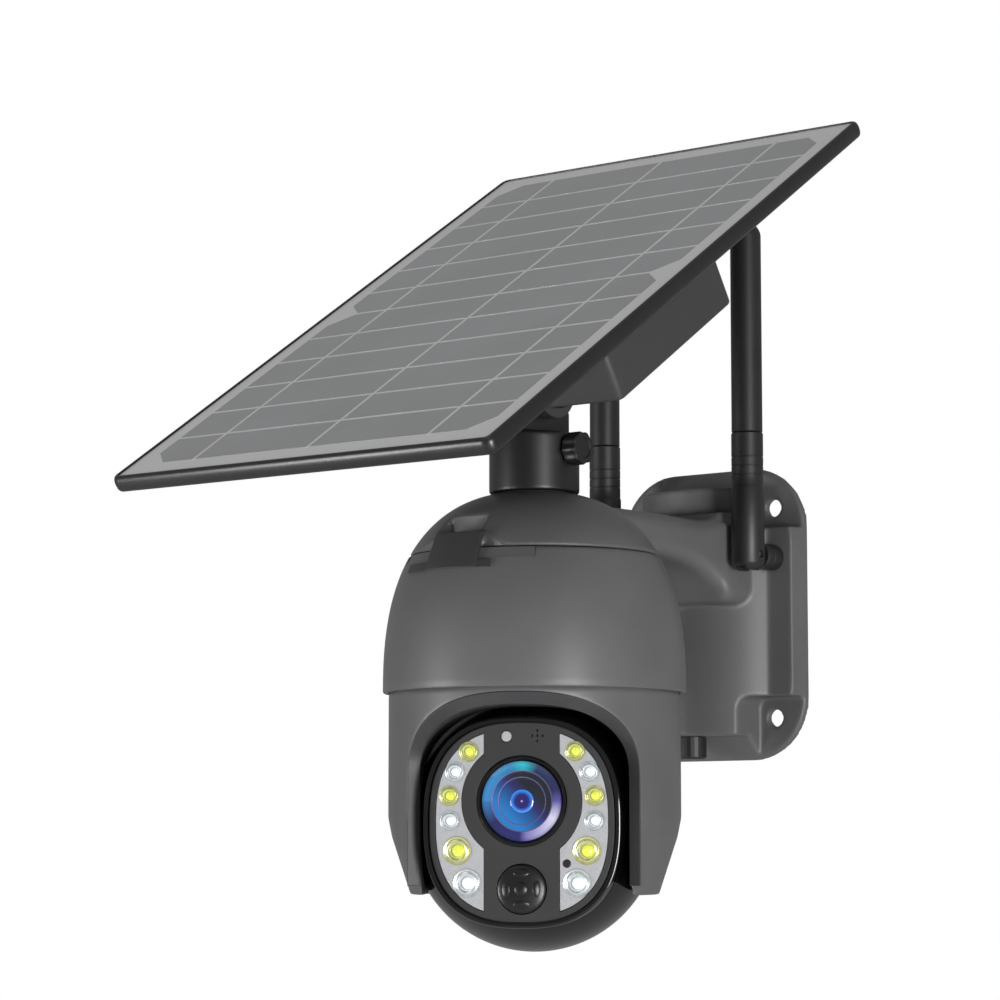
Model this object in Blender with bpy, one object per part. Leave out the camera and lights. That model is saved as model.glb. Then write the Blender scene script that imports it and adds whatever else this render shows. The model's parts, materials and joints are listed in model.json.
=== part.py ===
"""Solar security camera: a pan and tilt camera on a wall arm, with a hinged solar panel above it.

Metres, +Z up. The origin is the middle of the wall box's back face. +X is to the right as a
person facing the camera sees it, and +Y points into the wall. The dome's pieces are placed
under empties that stand on the dome's axis, at the height of its lower rim.
"""

import math

import bmesh
import bpy
from mathutils import Matrix, Vector

MM = 0.001
GAP = 0.3 * MM            # clearance between pieces that touch
WALL = 2.5 * MM           # thickness of the moulded shells

# Dome and its axis
DOME_TO_WALL = 134 * MM   # from the pan axis to the wall
RIM_Z = -40.5 * MM        # height of the dome's lower rim above the origin
DOME_RADIUS = 64 * MM
DOME_HEIGHT = 85.5 * MM
DOME_POWER = 2.5          # exponent of the dome's outline
SEAM_Z = 57.5 * MM        # where the skirt meets the top housing, above the rim
SPIGOT_RADIUS = 14.6 * MM
SPIGOT_TOP = 106 * MM

# Pan mechanism, heights above the rim
CHASSIS_Z = 20 * MM
CHASSIS_THICKNESS = 3 * MM
HUB_RADIUS = 13 * MM
BEARING_WIDTH = 3 * MM
GEAR_Z = 12 * MM
GEAR_THICKNESS = 4 * MM
GEAR_MODULE = 1.4 * MM
PAN_GEAR_TEETH = 40
PAN_PINION_TEETH = 10
MOTOR_RADIUS = 14 * MM
MOTOR_HEIGHT = 19 * MM
BOARD_Z = 46 * MM
BOARD_RADIUS = 43 * MM
BOARD_THICKNESS = 1.6 * MM

# Yoke, heights above the rim
YOKE_RADIUS = 61.5 * MM
YOKE_TOP = 8 * MM
RIM_CLEARANCE = 0.8 * MM  # between the turning yoke and the dome's rim
YOKE_STRAIGHT_TO = -52 * MM
YOKE_BOTTOM = -84 * MM
YOKE_BOTTOM_HALF = 52 * MM
ARCH_HALF_WIDTH = 43.3 * MM
ARCH_TOP = -6.5 * MM
PAN_AT_REST = math.radians(31.6)

# Camera ball, about the tilt axis
TILT_Z = -55.3 * MM
BALL_RADIUS = 52.5 * MM
BALL_WALL = 2.4 * MM
BALL_SPLIT = 9 * MM       # the shells part this far behind the tilt axis
BALL_CLEARANCE = 1.5 * MM
AXLE_RADIUS = 5 * MM
FACE_DISTANCE = 45 * MM
FACE_HALF_WIDTH = 38.1 * MM
FACE_HALF_HEIGHT = 40.6 * MM
FACE_CENTRE_Z = 1 * MM
FACE_POWER = 2.55         # exponent of the face's outline, a little squarer than an ellipse
SNOUT_WALL = 2.3 * MM
SNOUT_PROUD = 0.8 * MM    # how far the snout's rim stands in front of the face plate
FACE_THICKNESS = 2.4 * MM
LENS_Z = 9.5 * MM
LENS_RADIUS = 16.5 * MM
LENS_RING_WIDTH = 1.8 * MM
PIR_Z = -26 * MM
PIR_RADIUS = 10 * MM
WINDOW_INNER = 24.8 * MM
WINDOW_EDGE_X = 15.6 * MM
WINDOW_INSET = 2.9 * MM   # from the face's edge to a window's
LIGHT_SENSOR_AT = (-6.3 * MM, 35.8 * MM)
LIGHT_SENSOR_RADIUS = 2.2 * MM
TILT_GEAR_TEETH = 24
TILT_PINION_TEETH = 10
TILT_GEAR_X = 31 * MM

# Panel bracket, heights above the rim
COLLAR_RADIUS = 19.2 * MM
COLLAR_BOTTOM = 84.7 * MM
COLLAR_TOP = 110 * MM
THUMB_Z = 102.5 * MM
THUMB_KNOB_RADIUS = 7.15 * MM
THUMB_KNOB_LENGTH = 7 * MM
STUD_RADIUS = 2 * MM
HINGE_Z = 129.5 * MM
TONGUE_HALF_WIDTH = 6.6 * MM
TONGUE_HALF_DEPTH = 16 * MM
TONGUE_TIP_RADIUS = 9.2 * MM
EAR_THICKNESS = 5 * MM
EAR_RADIUS = 13 * MM
BOLT_RADIUS = 3 * MM
BOLT_HEAD_RADIUS = 9 * MM
BOLT_HEAD_LENGTH = 5 * MM

# Solar panel, about the hinge
PANEL_TILT = math.radians(33.06)
PANEL_WIDTH = 200 * MM
PANEL_LENGTH = 306 * MM
PANEL_TOP = 46 * MM       # from the hinge up to the panel's face
FRAME_THICKNESS = 7 * MM
FRAME_LIP = 2.4 * MM
GLASS_THICKNESS = 1.6 * MM
LAMINATE_THICKNESS = 1.4 * MM
TRAY_FLOOR = 2 * MM
BOX_WIDTH = 160 * MM
BOX_LENGTH = 93 * MM
BOX_BOTTOM = 10 * MM      # from the hinge up to the battery box's lower face
BOX_WALL = 2.4 * MM
CELL_RADIUS = 9.2 * MM
CELL_LENGTH = 65 * MM
CELLS_IN_PACK = 4

# Arm and wall box; depths are measured from the wall
BOX_CENTRE_Z = 40.3 * MM  # the wall box's middle above the rim
FLANGE_HALF_WIDTH = 50.3 * MM
FLANGE_HALF_HEIGHT = 65.8 * MM
FLANGE_CORNER = 29 * MM
LAND_DEPTH = 12 * MM
LAND_SIDE_INSET = 1.5 * MM
LAND_END_INSET = 10 * MM
BULGE_HALF_WIDTH = 36.5 * MM
BULGE_DEPTH = 30 * MM
BULGE_EDGE = 12 * MM      # where its round front meets its sides
ANTENNA_BITE = 4 * MM     # extra wall beside the antennas, which stand in a bite of the bulge
BULGE_TOP = 96 * MM
BULGE_BOTTOM = -15 * MM
POCKET_X = 26 * MM
POCKET_TOP_Z = 78 * MM
POCKET_BOTTOM_Z = 2.5 * MM
POCKET_FLOOR = 4 * MM
POCKET_CORNER = 5 * MM
WALL_HOLE_X = 34 * MM
WALL_HOLE_HALF_SPACING = 47.2 * MM
WALL_HOLE_RADIUS = 3.9 * MM
CAVITY_HALF_WIDTH = 42 * MM
COVER_THICKNESS = 2.4 * MM
SCREW_RADIUS = 1.5 * MM
SCREW_HEAD_RADIUS = 3 * MM
SCREW_X = 18 * MM
SCREW_HALF_SPACING = 45 * MM
PORT_RADIUS = 5 * MM
PORT_DEPTH = 20 * MM
PLUG_LENGTH = 10 * MM

# Antennas; heights above the rim
ANTENNA_X = 39.5 * MM
ANTENNA_STAND_OFF = 2 * MM  # from the wall box's front to the antenna's axis
ANTENNA_HINGE_Z = 64 * MM
BARREL_RADIUS = 5.8 * MM
NOSE_RADIUS = 3.2 * MM    # the antenna's threaded nose, in the wall box's hole
SLEEVE_RADIUS = 7.35 * MM
WHIP_RADIUS = 6.85 * MM
SLEEVE_FOOT = 6.9 * MM    # from the hinge down to the sleeve's flat end
SLEEVE_SWEEP = 8.2 * MM   # the end's rounded edge stays this close to the hinge as it swings
SLEEVE_TOP = 94 * MM
RINGED_TOP = 118 * MM
WHIP_TOP = 213 * MM
ANTENNA_TONGUE = 2.2 * MM  # half thickness of the hinge's tongue
ANTENNA_PIN_RADIUS = 1.5 * MM


# ---------------------------------------------------------------- scene and finishes

def clear_scene():
    for obj in list(bpy.data.objects):
        bpy.data.objects.remove(obj, do_unlink=True)


def finish(name, colour, roughness, metallic=0.0):
    """A Principled BSDF material with one colour."""
    made = bpy.data.materials.new(name)
    made.use_nodes = True
    shader = made.node_tree.nodes["Principled BSDF"]
    shader.inputs["Base Color"].default_value = (*colour, 1.0)
    shader.inputs["Roughness"].default_value = roughness
    shader.inputs["Metallic"].default_value = metallic
    return made


def finishes():
    return {
        "housing": finish("grey_moulded_plastic", (0.12, 0.12, 0.125), 0.45),
        "ball": finish("black_gloss_plastic", (0.012, 0.012, 0.013), 0.15),
        "face": finish("dark_grey_plastic", (0.04, 0.04, 0.042), 0.3),
        "window": finish("smoked_window", (0.35, 0.36, 0.38), 0.2),
        "black": finish("black_plastic", (0.02, 0.02, 0.02), 0.5),
        "rubber": finish("black_rubber", (0.015, 0.015, 0.015), 0.8),
        "steel": finish("plated_steel", (0.55, 0.55, 0.56), 0.3, 1.0),
        "brass": finish("brass", (0.7, 0.5, 0.2), 0.3, 1.0),
        "bearing": finish("white_acetal", (0.75, 0.75, 0.73), 0.4),
        "board": finish("green_circuit_board", (0.02, 0.15, 0.06), 0.5),
        "lens": finish("coated_glass", (0.01, 0.02, 0.05), 0.05),
        "pir": finish("black_polythene", (0.01, 0.01, 0.012), 0.25),
        "frame": finish("black_frame_plastic", (0.02, 0.02, 0.021), 0.35),
        "cells": finish("silicon_cells", (0.2, 0.2, 0.21), 0.35),
        "panel_glass": finish("panel_glass", (0.6, 0.62, 0.65), 0.1),
        "battery": finish("battery_wrap", (0.05, 0.2, 0.35), 0.4),
    }


def empty(name, parent=None, at=(0, 0, 0), turn=(0, 0, 0)):
    holder = bpy.data.objects.new(name, None)
    bpy.context.scene.collection.objects.link(holder)
    holder.parent = parent
    holder.location = at
    holder.rotation_euler = turn
    return holder


# ---------------------------------------------------------------- outlines and shapes

def arc(radius, start, end, steps, centre=(0.0, 0.0)):
    """Points on an arc from start to end, in degrees, both ends included."""
    angles = [math.radians(start + (end - start) * i / steps) for i in range(steps + 1)]
    return [(centre[0] + radius * math.cos(a), centre[1] + radius * math.sin(a)) for a in angles]


def circle(radius, steps=24, centre=(0.0, 0.0)):
    return arc(radius, 0, 360, steps, centre)[:-1]


def rounded_rectangle(half_x, half_y, radius, steps=4, centre=(0.0, 0.0)):
    x, y = half_x - radius, half_y - radius
    points = []
    for index, (sx, sy) in enumerate(((1, 1), (-1, 1), (-1, -1), (1, -1))):
        corner = (centre[0] + sx * x, centre[1] + sy * y)
        points += arc(radius, 90 * index, 90 * index + 90, steps, corner)
    return points


def oval(half_x, half_y, steps=36, power=FACE_POWER):
    """A superellipse with its middle at the origin."""
    points = []
    for i in range(steps):
        a = 2 * math.pi * i / steps
        c, s = math.cos(a), math.sin(a)
        points.append((half_x * math.copysign(abs(c) ** (2 / power), c),
                       half_y * math.copysign(abs(s) ** (2 / power), s)))
    return points


def gear_outline(teeth, module):
    """An involute-like outline, thinned for backlash, with a tooth centred on +X."""
    pitch = teeth * module / 2
    outer, root = pitch + 0.9 * module, pitch - 1.15 * module
    points = []
    for tooth in range(teeth):
        middle = 360 * tooth / teeth
        for radius, share in ((root, -0.33), (pitch, -0.21), (outer, -0.09),
                              (outer, 0.09), (pitch, 0.21), (root, 0.33)):
            a = math.radians(middle + share * 360 / teeth)
            points.append((radius * math.cos(a), radius * math.sin(a)))
    return points


def dome_radius(z, inset=0.0):
    """Radius of the dome's outline at a height above its rim, for a shell inset by a wall."""
    height = DOME_HEIGHT - inset
    return (DOME_RADIUS - inset) * max(0.0, 1 - (z / height) ** DOME_POWER) ** (1 / DOME_POWER)


def dome_line(low, high, inset, steps):
    """(radius, z) points along the dome's outline, close together where it curves most."""
    start = math.acos(dome_radius(low, inset) / (DOME_RADIUS - inset))
    end = math.acos(dome_radius(high, inset) / (DOME_RADIUS - inset))
    points = []
    for i in range(steps + 1):
        radius = (DOME_RADIUS - inset) * math.cos(start + (end - start) * i / steps)
        share = max(0.0, 1 - (radius / (DOME_RADIUS - inset)) ** DOME_POWER)
        points.append((radius, (DOME_HEIGHT - inset) * share ** (1 / DOME_POWER)))
    points[0] = (points[0][0], low)
    points[-1] = (points[-1][0], high)
    return points


def new_object(name, mesh_data, look, parent=None, matrix=None):
    """An object from a bmesh, its faces turned outward and the points moved by matrix."""
    bmesh.ops.remove_doubles(mesh_data, verts=mesh_data.verts, dist=1e-7)
    bmesh.ops.recalc_face_normals(mesh_data, faces=mesh_data.faces)
    if matrix is not None:
        mesh_data.transform(matrix)
    mesh = bpy.data.meshes.new(name)
    mesh_data.to_mesh(mesh)
    mesh_data.free()
    mesh.shade_smooth()
    mesh.set_sharp_from_angle(angle=math.radians(35))
    if look is not None:
        mesh.materials.append(look)
    obj = bpy.data.objects.new(name, mesh)
    bpy.context.scene.collection.objects.link(obj)
    obj.parent = parent
    return obj


def turned_mesh(profile, steps):
    """A closed (radius, z) profile turned about Z."""
    mesh = bmesh.new()
    verts = [mesh.verts.new((r, 0, z)) for r, z in profile]
    edges = [mesh.edges.new((verts[i], verts[(i + 1) % len(verts)])) for i in range(len(verts))]
    bmesh.ops.spin(mesh, geom=verts + edges, cent=(0, 0, 0), axis=(0, 0, 1),
                   angle=2 * math.pi, steps=steps, use_merge=True)
    bmesh.ops.remove_doubles(mesh, verts=mesh.verts, dist=1e-7)
    lone = [edge for edge in mesh.edges if not edge.link_faces]
    bmesh.ops.delete(mesh, geom=lone, context="EDGES")
    return mesh


def lofted_mesh(rings):
    """Rings of equal length bridged in order, with both ends capped."""
    mesh = bmesh.new()
    rows = [[mesh.verts.new(point) for point in ring] for ring in rings]
    count = len(rows[0])
    for lower, upper in zip(rows, rows[1:]):
        for i in range(count):
            j = (i + 1) % count
            mesh.faces.new((lower[i], lower[j], upper[j], upper[i]))
    mesh.faces.new(rows[0][::-1])
    mesh.faces.new(rows[-1])
    return mesh


def extruded_mesh(outline, low, high):
    return lofted_mesh([[(x, y, z) for x, y in outline] for z in (low, high)])


def turned(name, profile, look, parent=None, steps=24, matrix=None):
    return new_object(name, turned_mesh(profile, steps), look, parent, matrix)


def extruded(name, outline, low, high, look, parent=None, matrix=None):
    return new_object(name, extruded_mesh(outline, low, high), look, parent, matrix)


def tube_profile(outer, inner, low, high):
    return [(inner, low), (outer, low), (outer, high), (inner, high)]


def rod_profile(radius, low, high):
    return [(0, low), (radius, low), (radius, high), (0, high)]


def box_outline(x0, x1, y0, y1):
    return [(x0, y0), (x1, y0), (x1, y1), (x0, y1)]


MANY_CUTS = ("top_housing", "ball_front_shell")


def apply_boolean(target, tool, operation):
    """Adds a Boolean with its tool hidden, and keeps the tool as a wire guide.

    The exact solver leaves a few open edges on the two shells with the most cuts.
    """
    tool.hide_render = True
    tool.display_type = "WIRE"
    modifier = target.modifiers.new(operation.lower(), "BOOLEAN")
    modifier.operation = operation
    modifier.object = tool
    modifier.solver = "MANIFOLD" if target.name in MANY_CUTS else "EXACT"


def cut(target, *tools):
    for tool in tools:
        apply_boolean(target, tool, "DIFFERENCE")


def join(target, *tools):
    for tool in tools:
        apply_boolean(target, tool, "UNION")


ALONG_X = Matrix.Rotation(math.pi / 2, 4, "Y")    # local +Z to +X
ALONG_Y = Matrix.Rotation(-math.pi / 2, 4, "X")   # local +Z to +Y, local +Y to -Z
FACING = Matrix.Rotation(math.pi / 2, 4, "X")     # local +Y to +Z, local +Z to -Y


def moved(x, y, z):
    return Matrix.Translation(Vector((x, y, z)))


# ---------------------------------------------------------------- top housing and dome

def arm_rings(inset):
    """Rounded sections of the arm, from the pan axis to the wall box's front.

    It runs straight at first, then spreads over its last 26 mm before the wall box.
    """
    fillet = 6.5 * MM
    wall_box = DOME_TO_WALL - BULGE_DEPTH
    straight = wall_box - 26 * MM
    stations = (
        (0, 25.5, 65, 79.5), (straight * 5 / 13, 27, 63, 80), (straight * 10 / 13, 27, 61.5, 80),
        (straight, 27.3, 59, 79.5), (wall_box - 16 * MM, 28, 55.5, 79.5),
        (wall_box - 8 * MM, 29.5, 49.5, 81), (wall_box - 2 * MM, 31, 43.5, 84),
        (wall_box + 14 * MM, 31, 43.5, 84),
    )
    rings = []
    for y, half, low, high in stations:
        half_width = half * MM
        if inset:  # the hollow arm stays inside the wall box's pockets
            half_width = min(half_width, POCKET_X) - inset
        bottom, top = low * MM + inset, high * MM - inset
        corner = max(fillet - inset, MM)
        ring = rounded_rectangle(half_width, (top - bottom) / 2, corner, 2,
                                 (0, (top + bottom) / 2))
        rings.append([(x, y, z) for x, z in ring])
    return rings


def flange_ring(depth, half_width, half_height, corner):
    """The wall box's outline at a depth in front of the wall, in the dome's frame."""
    ring = rounded_rectangle(half_width, half_height, corner, 6, (0, BOX_CENTRE_Z))
    return [(x, DOME_TO_WALL - depth, z) for x, z in ring]


def bulge_outline(inset, half_width):
    """Section of the raised middle: short straight sides and one broad round front."""
    half, rise = half_width - inset, BULGE_DEPTH - BULGE_EDGE
    radius = (half ** 2 + rise ** 2) / (2 * rise)
    reach = math.degrees(math.asin(half / radius))
    return ([(half, 0)] + arc(radius, 90 - reach, 90 + reach, 14,
                              (0, BULGE_DEPTH - inset - radius)) + [(-half, 0)])


def bulge_depth_at(x):
    rise = BULGE_DEPTH - BULGE_EDGE
    radius = (BULGE_HALF_WIDTH ** 2 + rise ** 2) / (2 * rise)
    return BULGE_DEPTH - radius + math.sqrt(radius ** 2 - x ** 2)


def upright(outline, low, high):
    """A prism with a level section: x across, y the depth in front of the wall."""
    return lofted_mesh([[(x, DOME_TO_WALL - depth, z) for x, depth in outline]
                        for z in (low, high)])


def top_housing(looks, dome):
    """The cap over the dome with its spigot, the arm, and the wall box, moulded in one."""
    low = SEAM_Z + GAP
    shoulder = 84 * MM
    cap = dome_line(low, shoulder, 0, 6)
    inner = dome_line(low, shoulder - 2 * WALL, WALL, 4)
    housing = turned("top_housing", [(0, low)] + cap + [(SPIGOT_RADIUS, shoulder),
                     (SPIGOT_RADIUS, SPIGOT_TOP), (0, SPIGOT_TOP)], looks["housing"], dome, 36)
    arm = new_object("arm_outer", lofted_mesh(arm_rings(0)), None, dome)
    flange = new_object("flange_outer", lofted_mesh([
        flange_ring(0, FLANGE_HALF_WIDTH, FLANGE_HALF_HEIGHT, FLANGE_CORNER),
        flange_ring(3 * MM, FLANGE_HALF_WIDTH, FLANGE_HALF_HEIGHT, FLANGE_CORNER),
        flange_ring(LAND_DEPTH, FLANGE_HALF_WIDTH - LAND_SIDE_INSET,
                    FLANGE_HALF_HEIGHT - LAND_END_INSET, FLANGE_CORNER - 4 * MM),
    ]), None, dome)
    bulge = new_object("bulge_outer", upright(bulge_outline(0, BULGE_HALF_WIDTH),
                       BULGE_BOTTOM, BULGE_TOP), None, dome)
    join(housing, arm, flange, bulge)
    hollow_cap = turned("cap_hollow", [(0, low - WALL)] + [(inner[0][0], low - WALL)] + inner
                        + [(SPIGOT_RADIUS - WALL, shoulder - 2 * WALL),
                           (SPIGOT_RADIUS - WALL, SPIGOT_TOP - WALL), (0, SPIGOT_TOP - WALL)],
                        None, dome, 28)
    hollow_arm = new_object("arm_hollow", lofted_mesh(arm_rings(WALL)), None, dome)
    wide = new_object("box_hollow_wide", upright(
        box_outline(-CAVITY_HALF_WIDTH, CAVITY_HALF_WIDTH, COVER_THICKNESS,
                    LAND_DEPTH - WALL), POCKET_BOTTOM_Z + WALL + 2 * MM,
        POCKET_TOP_Z - WALL - 2 * MM), None, dome)
    bulge_inside = new_object("box_hollow_bulge", upright(
        bulge_outline(WALL, BULGE_HALF_WIDTH - ANTENNA_BITE), POCKET_BOTTOM_Z + WALL,
        POCKET_TOP_Z - WALL), None, dome)
    tall = new_object("box_hollow_tall", upright(
        bulge_outline(WALL, POCKET_X), BULGE_BOTTOM + WALL, BULGE_TOP - WALL), None, dome)
    recess = new_object("cover_recess", cover_mesh(GAP, -MM, COVER_THICKNESS + GAP), None, dome)
    cut(housing, hollow_cap, hollow_arm, wide, bulge_inside, tall, recess)
    for side in (-1, 1):
        for centre_z, out in ((POCKET_TOP_Z, 1), (POCKET_BOTTOM_Z, -1)):
            reach = 60 * MM
            ring = rounded_rectangle(reach, reach, POCKET_CORNER, 4,
                                     (side * (POCKET_X + reach), centre_z + out * reach))
            pocket = new_object("pocket", lofted_mesh([
                [(x, DOME_TO_WALL - depth, z) for x, z in ring]
                for depth in (POCKET_FLOOR, BULGE_DEPTH + 10 * MM)]), None, dome)
            hole = turned("wall_hole", rod_profile(WALL_HOLE_RADIUS, -5 * MM, 10 * MM), None,
                          dome, 20, moved(side * WALL_HOLE_X, DOME_TO_WALL - 5 * MM,
                                          BOX_CENTRE_Z + out * WALL_HOLE_HALF_SPACING) @ ALONG_Y)
            cut(housing, pocket, hole)
            boss_radius = SCREW_RADIUS + WALL
            boss = turned("boss", rod_profile(boss_radius, COVER_THICKNESS + 2 * GAP,
                          bulge_depth_at(SCREW_X + boss_radius) - WALL / 2), None, dome, 12,
                          moved(side * SCREW_X, DOME_TO_WALL,
                                BOX_CENTRE_Z + out * SCREW_HALF_SPACING) @ FACING)
            bore = turned("boss_bore", rod_profile(SCREW_RADIUS + GAP, 0, 14 * MM), None, dome,
                          12, moved(side * SCREW_X, DOME_TO_WALL,
                                    BOX_CENTRE_Z + out * SCREW_HALF_SPACING) @ FACING)
            join(housing, boss)
            cut(housing, bore)
        socket = turned("antenna_hole", rod_profile(NOSE_RADIUS + GAP, COVER_THICKNESS + MM,
                        LAND_DEPTH + 8 * MM), None, dome, 16,
                        moved(side * ANTENNA_X, DOME_TO_WALL, ANTENNA_HINGE_Z) @ FACING)
        seat = turned("antenna_seat", rod_profile(BARREL_RADIUS + 2 * GAP, LAND_DEPTH,
                      BULGE_DEPTH + 10 * MM), None, dome, 20,
                      moved(side * ANTENNA_X, DOME_TO_WALL, ANTENNA_HINGE_Z) @ FACING)
        cut(housing, socket, seat)
    port = turned("port_hole", rod_profile(PORT_RADIUS, -10 * MM, 10 * MM), None, dome, 24,
                  moved(0, DOME_TO_WALL - PORT_DEPTH, BULGE_BOTTOM))
    cut(housing, port)


def cover_mesh(grow, low, high):
    """The wall box's back cover, a plate of three widths, from one depth to another."""
    wide, tall = CAVITY_HALF_WIDTH + grow, POCKET_X - WALL + grow
    mid_top, mid_bottom = POCKET_TOP_Z - WALL + grow, POCKET_BOTTOM_Z + WALL - grow
    top, bottom = BULGE_TOP - WALL + grow, BULGE_BOTTOM + WALL - grow
    outline = [(tall, bottom), (tall, mid_bottom), (wide, mid_bottom), (wide, mid_top),
               (tall, mid_top), (tall, top), (-tall, top), (-tall, mid_top),
               (-wide, mid_top), (-wide, mid_bottom), (-tall, mid_bottom), (-tall, bottom)]
    return lofted_mesh([[(x, DOME_TO_WALL - depth, z) for x, z in outline]
                        for depth in (low, high)])


def back_cover(looks, dome):
    cover = new_object("back_cover", cover_mesh(0, 0, COVER_THICKNESS), looks["housing"], dome)
    for side in (-1, 1):
        for out in (-1, 1):
            place = moved(side * SCREW_X, DOME_TO_WALL, BOX_CENTRE_Z + out * SCREW_HALF_SPACING)
            head = 1.2 * MM
            cut(cover, turned("cover_hole", [
                (0, -MM), (SCREW_HEAD_RADIUS + GAP, -MM), (SCREW_HEAD_RADIUS + GAP, head + GAP),
                (SCREW_RADIUS + GAP, head + GAP), (SCREW_RADIUS + GAP, 5 * MM), (0, 5 * MM)],
                None, dome, 12, place @ FACING))
            names = {(-1, 1): 1, (1, 1): 2, (-1, -1): 3, (1, -1): 4}
            turned(f"back_cover_screw_{names[(side, out)]}", [
                (0, 0.1 * MM), (SCREW_HEAD_RADIUS, 0.1 * MM), (SCREW_HEAD_RADIUS, head),
                (SCREW_RADIUS, head), (SCREW_RADIUS, 13 * MM), (0, 13 * MM)],
                looks["steel"], dome, 12, place @ FACING)


def port_plug(looks, dome):
    """The rubber cap that seals the cable port under the wall box."""
    place = moved(0, DOME_TO_WALL - PORT_DEPTH, BULGE_BOTTOM)
    outer = PORT_RADIUS + 1.5 * MM
    turned("cable_port_plug", [
        (0, -PLUG_LENGTH), (outer - 0.8 * MM, -PLUG_LENGTH), (outer, 0.8 * MM - PLUG_LENGTH),
        (outer, -GAP), (PORT_RADIUS - GAP, -GAP), (PORT_RADIUS - GAP, 3 * MM),
        (0, 3 * MM)], looks["rubber"], dome, 24, place)


def dome_skirt(looks, dome):
    """The light shell under the seam, open above and below, with a ledge for the chassis."""
    outer = dome_line(0, SEAM_Z, 0, 7)
    inner = dome_line(0, SEAM_Z, WALL, 5)
    ledge = CHASSIS_Z - GAP
    reach = 3 * MM
    inner_radius = dome_radius(ledge, WALL)
    inside = [p for p in inner if p[1] > ledge + MM]
    below = [p for p in inner if p[1] < ledge - reach - MM]
    profile = outer + inside[::-1] + [
        (inner_radius, ledge), (inner_radius - reach, ledge),
        (inner_radius - reach, ledge - 1.2 * MM), (inner_radius, ledge - 1.2 * MM - reach),
    ] + below[::-1]
    turned("dome_skirt", profile, looks["housing"], dome, 36)


def latch_sector(inner, outer, half_angle, low, high, steps=8):
    """A curved block that follows the dome's front, centred on -Y."""
    rings = []
    for z in (low, (low + high) / 2, high):
        ring = arc(dome_radius(z) + outer, -90 - half_angle, -90 + half_angle, steps)
        ring += arc(dome_radius(z) - inner, -90 + half_angle, -90 - half_angle, steps)
        rings.append([(x, y, z) for x, y in ring])
    return lofted_mesh(rings)


def front_latch(looks, dome):
    """The catch that clips the skirt to the cap, at the front above the seam."""
    low, high = 58.4 * MM, 65.5 * MM
    new_object("front_latch", latch_sector(-GAP, 2 * MM, 21, low, high), looks["black"], dome)


def chassis(looks, dome):
    """The round plate that carries the pan bearing, the pan motor and the speaker."""
    radius = dome_radius(CHASSIS_Z + CHASSIS_THICKNESS, WALL) - 2 * GAP
    seat = HUB_RADIUS + BEARING_WIDTH + GAP
    plate = turned("chassis_plate", tube_profile(radius, seat, CHASSIS_Z,
                   CHASSIS_Z + CHASSIS_THICKNESS), looks["black"], dome, 36)
    place = moved(*pinion_place(), 0)
    cut(plate, turned("pinion_hole", rod_profile(4 * MM, 0, 40 * MM), None, dome, 16, place))
    turned("pan_bearing", tube_profile(HUB_RADIUS + BEARING_WIDTH, HUB_RADIUS + GAP,
           CHASSIS_Z - MM, CHASSIS_Z + CHASSIS_THICKNESS + MM), looks["bearing"], dome, 24)
    low = CHASSIS_Z + CHASSIS_THICKNESS + GAP
    turned("pan_motor", [(0, low), (MOTOR_RADIUS, low), (MOTOR_RADIUS, low + MOTOR_HEIGHT),
                         (0, low + MOTOR_HEIGHT)], looks["steel"], dome, 28, place)
    turned("speaker", [
        (0, low), (12 * MM, low), (12 * MM, low + 3 * MM), (15 * MM, low + 5 * MM),
        (15 * MM, low + 8 * MM), (0, low + 8 * MM)], looks["black"], dome, 24,
        moved(*(-c for c in pinion_place()), 0))
    board = turned("main_board", tube_profile(BOARD_RADIUS, 8 * MM, BOARD_Z,
                   BOARD_Z + BOARD_THICKNESS), looks["board"], dome, 24)
    for x, y, half_x, half_y, height in ((18, 12, 9, 9, 2.2), (-20, 14, 8, 5, 4),
                                         (-14, -18, 6, 9, 3), (20, -16, 10, 5, 2)):
        join(board, extruded("component", rounded_rectangle(
            half_x * MM, half_y * MM, MM, 1, (x * MM, y * MM)),
            BOARD_Z + BOARD_THICKNESS / 2, BOARD_Z + BOARD_THICKNESS + height * MM, None, dome))


def pinion_place():
    """The pan pinion's axis, towards the front of the dome."""
    distance = (PAN_GEAR_TEETH + PAN_PINION_TEETH) * GEAR_MODULE / 2
    return 0.0, -distance


def pan_pinion(looks, dome):
    x, y = pinion_place()
    axis = empty("pan_pinion_axis", dome, (x, y, 0))
    # A tooth space faces the pan gear at rest.
    turn = Matrix.Rotation(math.radians(90 + 180 / PAN_PINION_TEETH), 4, "Z")
    gear = extruded("pan_pinion", gear_outline(PAN_PINION_TEETH, GEAR_MODULE), GEAR_Z,
                    GEAR_Z + GEAR_THICKNESS, looks["brass"], axis, turn)
    join(gear, turned("pinion_shaft", rod_profile(2.5 * MM, GEAR_Z - MM,
         CHASSIS_Z + CHASSIS_THICKNESS), None, axis, 16))


# ---------------------------------------------------------------- pan head

def yoke_rings(radius, taper_half, top, straight_to, bottom):
    """Round sections of the yoke's outside, narrowing along X below its straight part."""
    rings = []
    neck = DOME_RADIUS - WALL - RIM_CLEARANCE
    for z, half in ((top, neck), (-RIM_CLEARANCE / 2, neck), (-RIM_CLEARANCE, radius),
                    (straight_to, radius), (bottom, taper_half)):
        share = half / radius
        rings.append([(x * share, y * share, z) for x, y in circle(radius, 40)])
    return rings


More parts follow.
